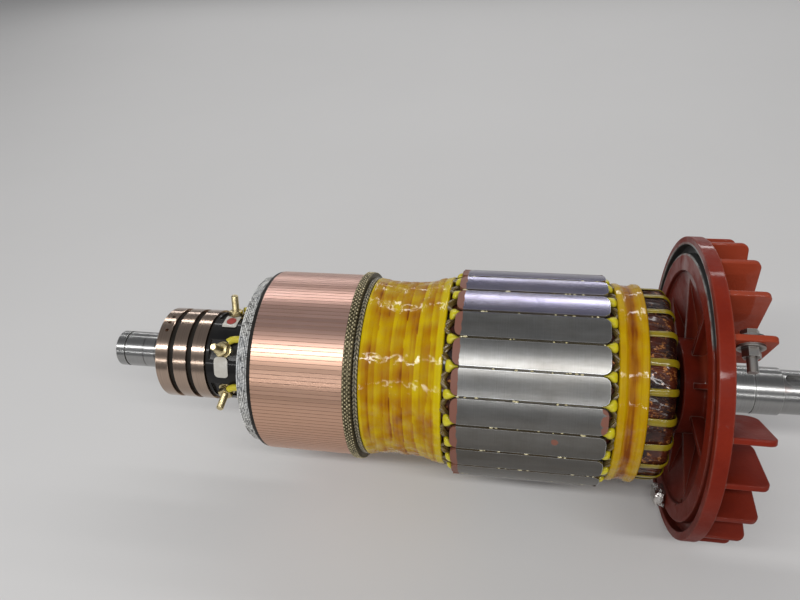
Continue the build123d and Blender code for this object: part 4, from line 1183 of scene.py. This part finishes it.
tags = {
    "tag_upper": {"x": (-766.0, -744.0), "turn": (76.0, 98.0), "corner": 2.0, "disc": 7.4},
    "tag_lower": {"x": (-767.5, -746.5), "turn": (139.0, 166.0), "corner": 6.0, "disc": 0},
}
tagSheet = {"radius": 66.9, "thickness": 0.6, "cuts": 14, "discThickness": 0.5, "discLift": 0.95}
for name, tag in tags.items():
    corner, radius = tag["corner"], tagSheet["radius"]
    length = tag["x"][1] - tag["x"][0]
    breadth = radians(tag["turn"][1] - tag["turn"][0]) * radius
    middleX, middle = sum(tag["x"]) / 2, radians(sum(tag["turn"]) / 2)
    bm = bmesh.new()
    bmesh.ops.create_grid(bm, x_segments=tagSheet["cuts"], y_segments=tagSheet["cuts"], size=0.5)
    for vert in bm.verts:   # round the corners, then curl the tag over the hub
        x, across = vert.co.x * length, vert.co.y * breadth
        overX, overY = abs(x) - (length / 2 - corner), abs(across) - (breadth / 2 - corner)
        far = hypot(overX, overY)
        if overX > 0 and overY > 0 and far > corner:
            x -= overX * (1 - corner / far) * (1 if x > 0 else -1)
            across -= overY * (1 - corner / far) * (1 if across > 0 else -1)
        around = middle + across / radius
        curl = radius + 0.5 * (x / length) ** 2 + 0.4 * noise.noise(Vector((x, across, 3)) * 0.12)
        vert.co = Vector((x + middleX, curl * cos(around), curl * sin(around))) * mm
    bmesh.ops.recalc_face_normals(bm, faces=bm.faces)
    bmesh.ops.solidify(bm, geom=bm.faces, thickness=tagSheet["thickness"] * mm)
    bmesh.ops.recalc_face_normals(bm, faces=bm.faces)
    keepPiece(name, bm, "bareTag", sharp=50)
    if tag["disc"]:
        bm = bmesh.new()
        facing = Vector((0, cos(middle), sin(middle)))
        place = movedTo(middleX, *(facing.yz * (radius + tagSheet["discLift"])))
        prism(bm, 32, tag["disc"], tagSheet["discThickness"],
              place @ facing.to_track_quat("Z", "Y").to_matrix().to_4x4(), top=tag["disc"] - 0.3)
        bmesh.ops.subdivide_edges(bm, edges=bm.edges, cuts=1)
        keepPiece("tag_disc", bm, "redDisc", sharp=50)

# Bolts that draw the clamp ring up, with washers

clampBolts = {"count": 8, "first": 22.5, "circle": 88.0, "face": -705.5, "across": 17.0, "head": 9.0,
              "washer": 20.0, "washerThick": 2.0}
count, first, circle, face, across, head, washer, washerThick = clampBolts.values()
bm, one = bmesh.new(), bmesh.new()
prism(one, 28, washer / 2, washerThick, movedTo(face - washerThick / 2, circle) @ lyingAlong)
breakEdges(one, prism(one, 6, across * hexCorner, head,
                      movedTo(face - washerThick - head / 2, circle) @ lyingAlong), 0.7)
copiesAround(bm, one, evenly(count, first))
keepPiece("clamp_bolts", bm, "zincSteel", sharp=30)

# Balance weight: a pressed lump with creased faces

weightLump = {"left": -126.0, "right": -111.2, "radius": 171.0, "angle": 245.2, "size": (15.0, 21.0, 34.0),
              "crush": 2.4}
left, right, radius, angle, size, crush = weightLump.values()
bm = bmesh.new()
bmesh.ops.create_cube(bm, size=1.0)
bmesh.ops.subdivide_edges(bm, edges=bm.edges, cuts=3, use_grid_fill=True)
bmesh.ops.smooth_vert(bm, verts=bm.verts, factor=0.5, use_axis_x=True, use_axis_y=True, use_axis_z=True)
bmesh.ops.transform(bm, verts=bm.verts, matrix=movedTo((left + right) / 2, radius)
                    @ Matrix.Diagonal((*[s * mm for s in size], 1)))
dent(bm, 130, crush, 0, 0, 0)
for vert in bm.verts:
    vert.co.x = min(vert.co.x, right * mm)
bmesh.ops.transform(bm, verts=bm.verts, matrix=aroundShaft(angle))
bmesh.ops.triangulate(bm, faces=bm.faces)
keepPiece("balance_lump", bm, "shinyLump", ["balance_weight"], sharp=12)

# Floor just under the fan's rim, in metres

floorSheet = {"size": 14.0, "below": 0.0005, "middleX": -0.4}
bm = bmesh.new()
bmesh.ops.create_grid(bm, x_segments=2, y_segments=2, size=floorSheet["size"] / 2)
mesh = meshOf("floor", bm)
mesh.transform(Matrix.Translation((floorSheet["middleX"], 0, cadBox[0].z - floorSheet["below"])))
mesh.materials.append(finishes["paleFloor"])
floorPiece = bpy.data.objects.new("floor", mesh)
bpy.context.scene.collection.objects.link(floorPiece)
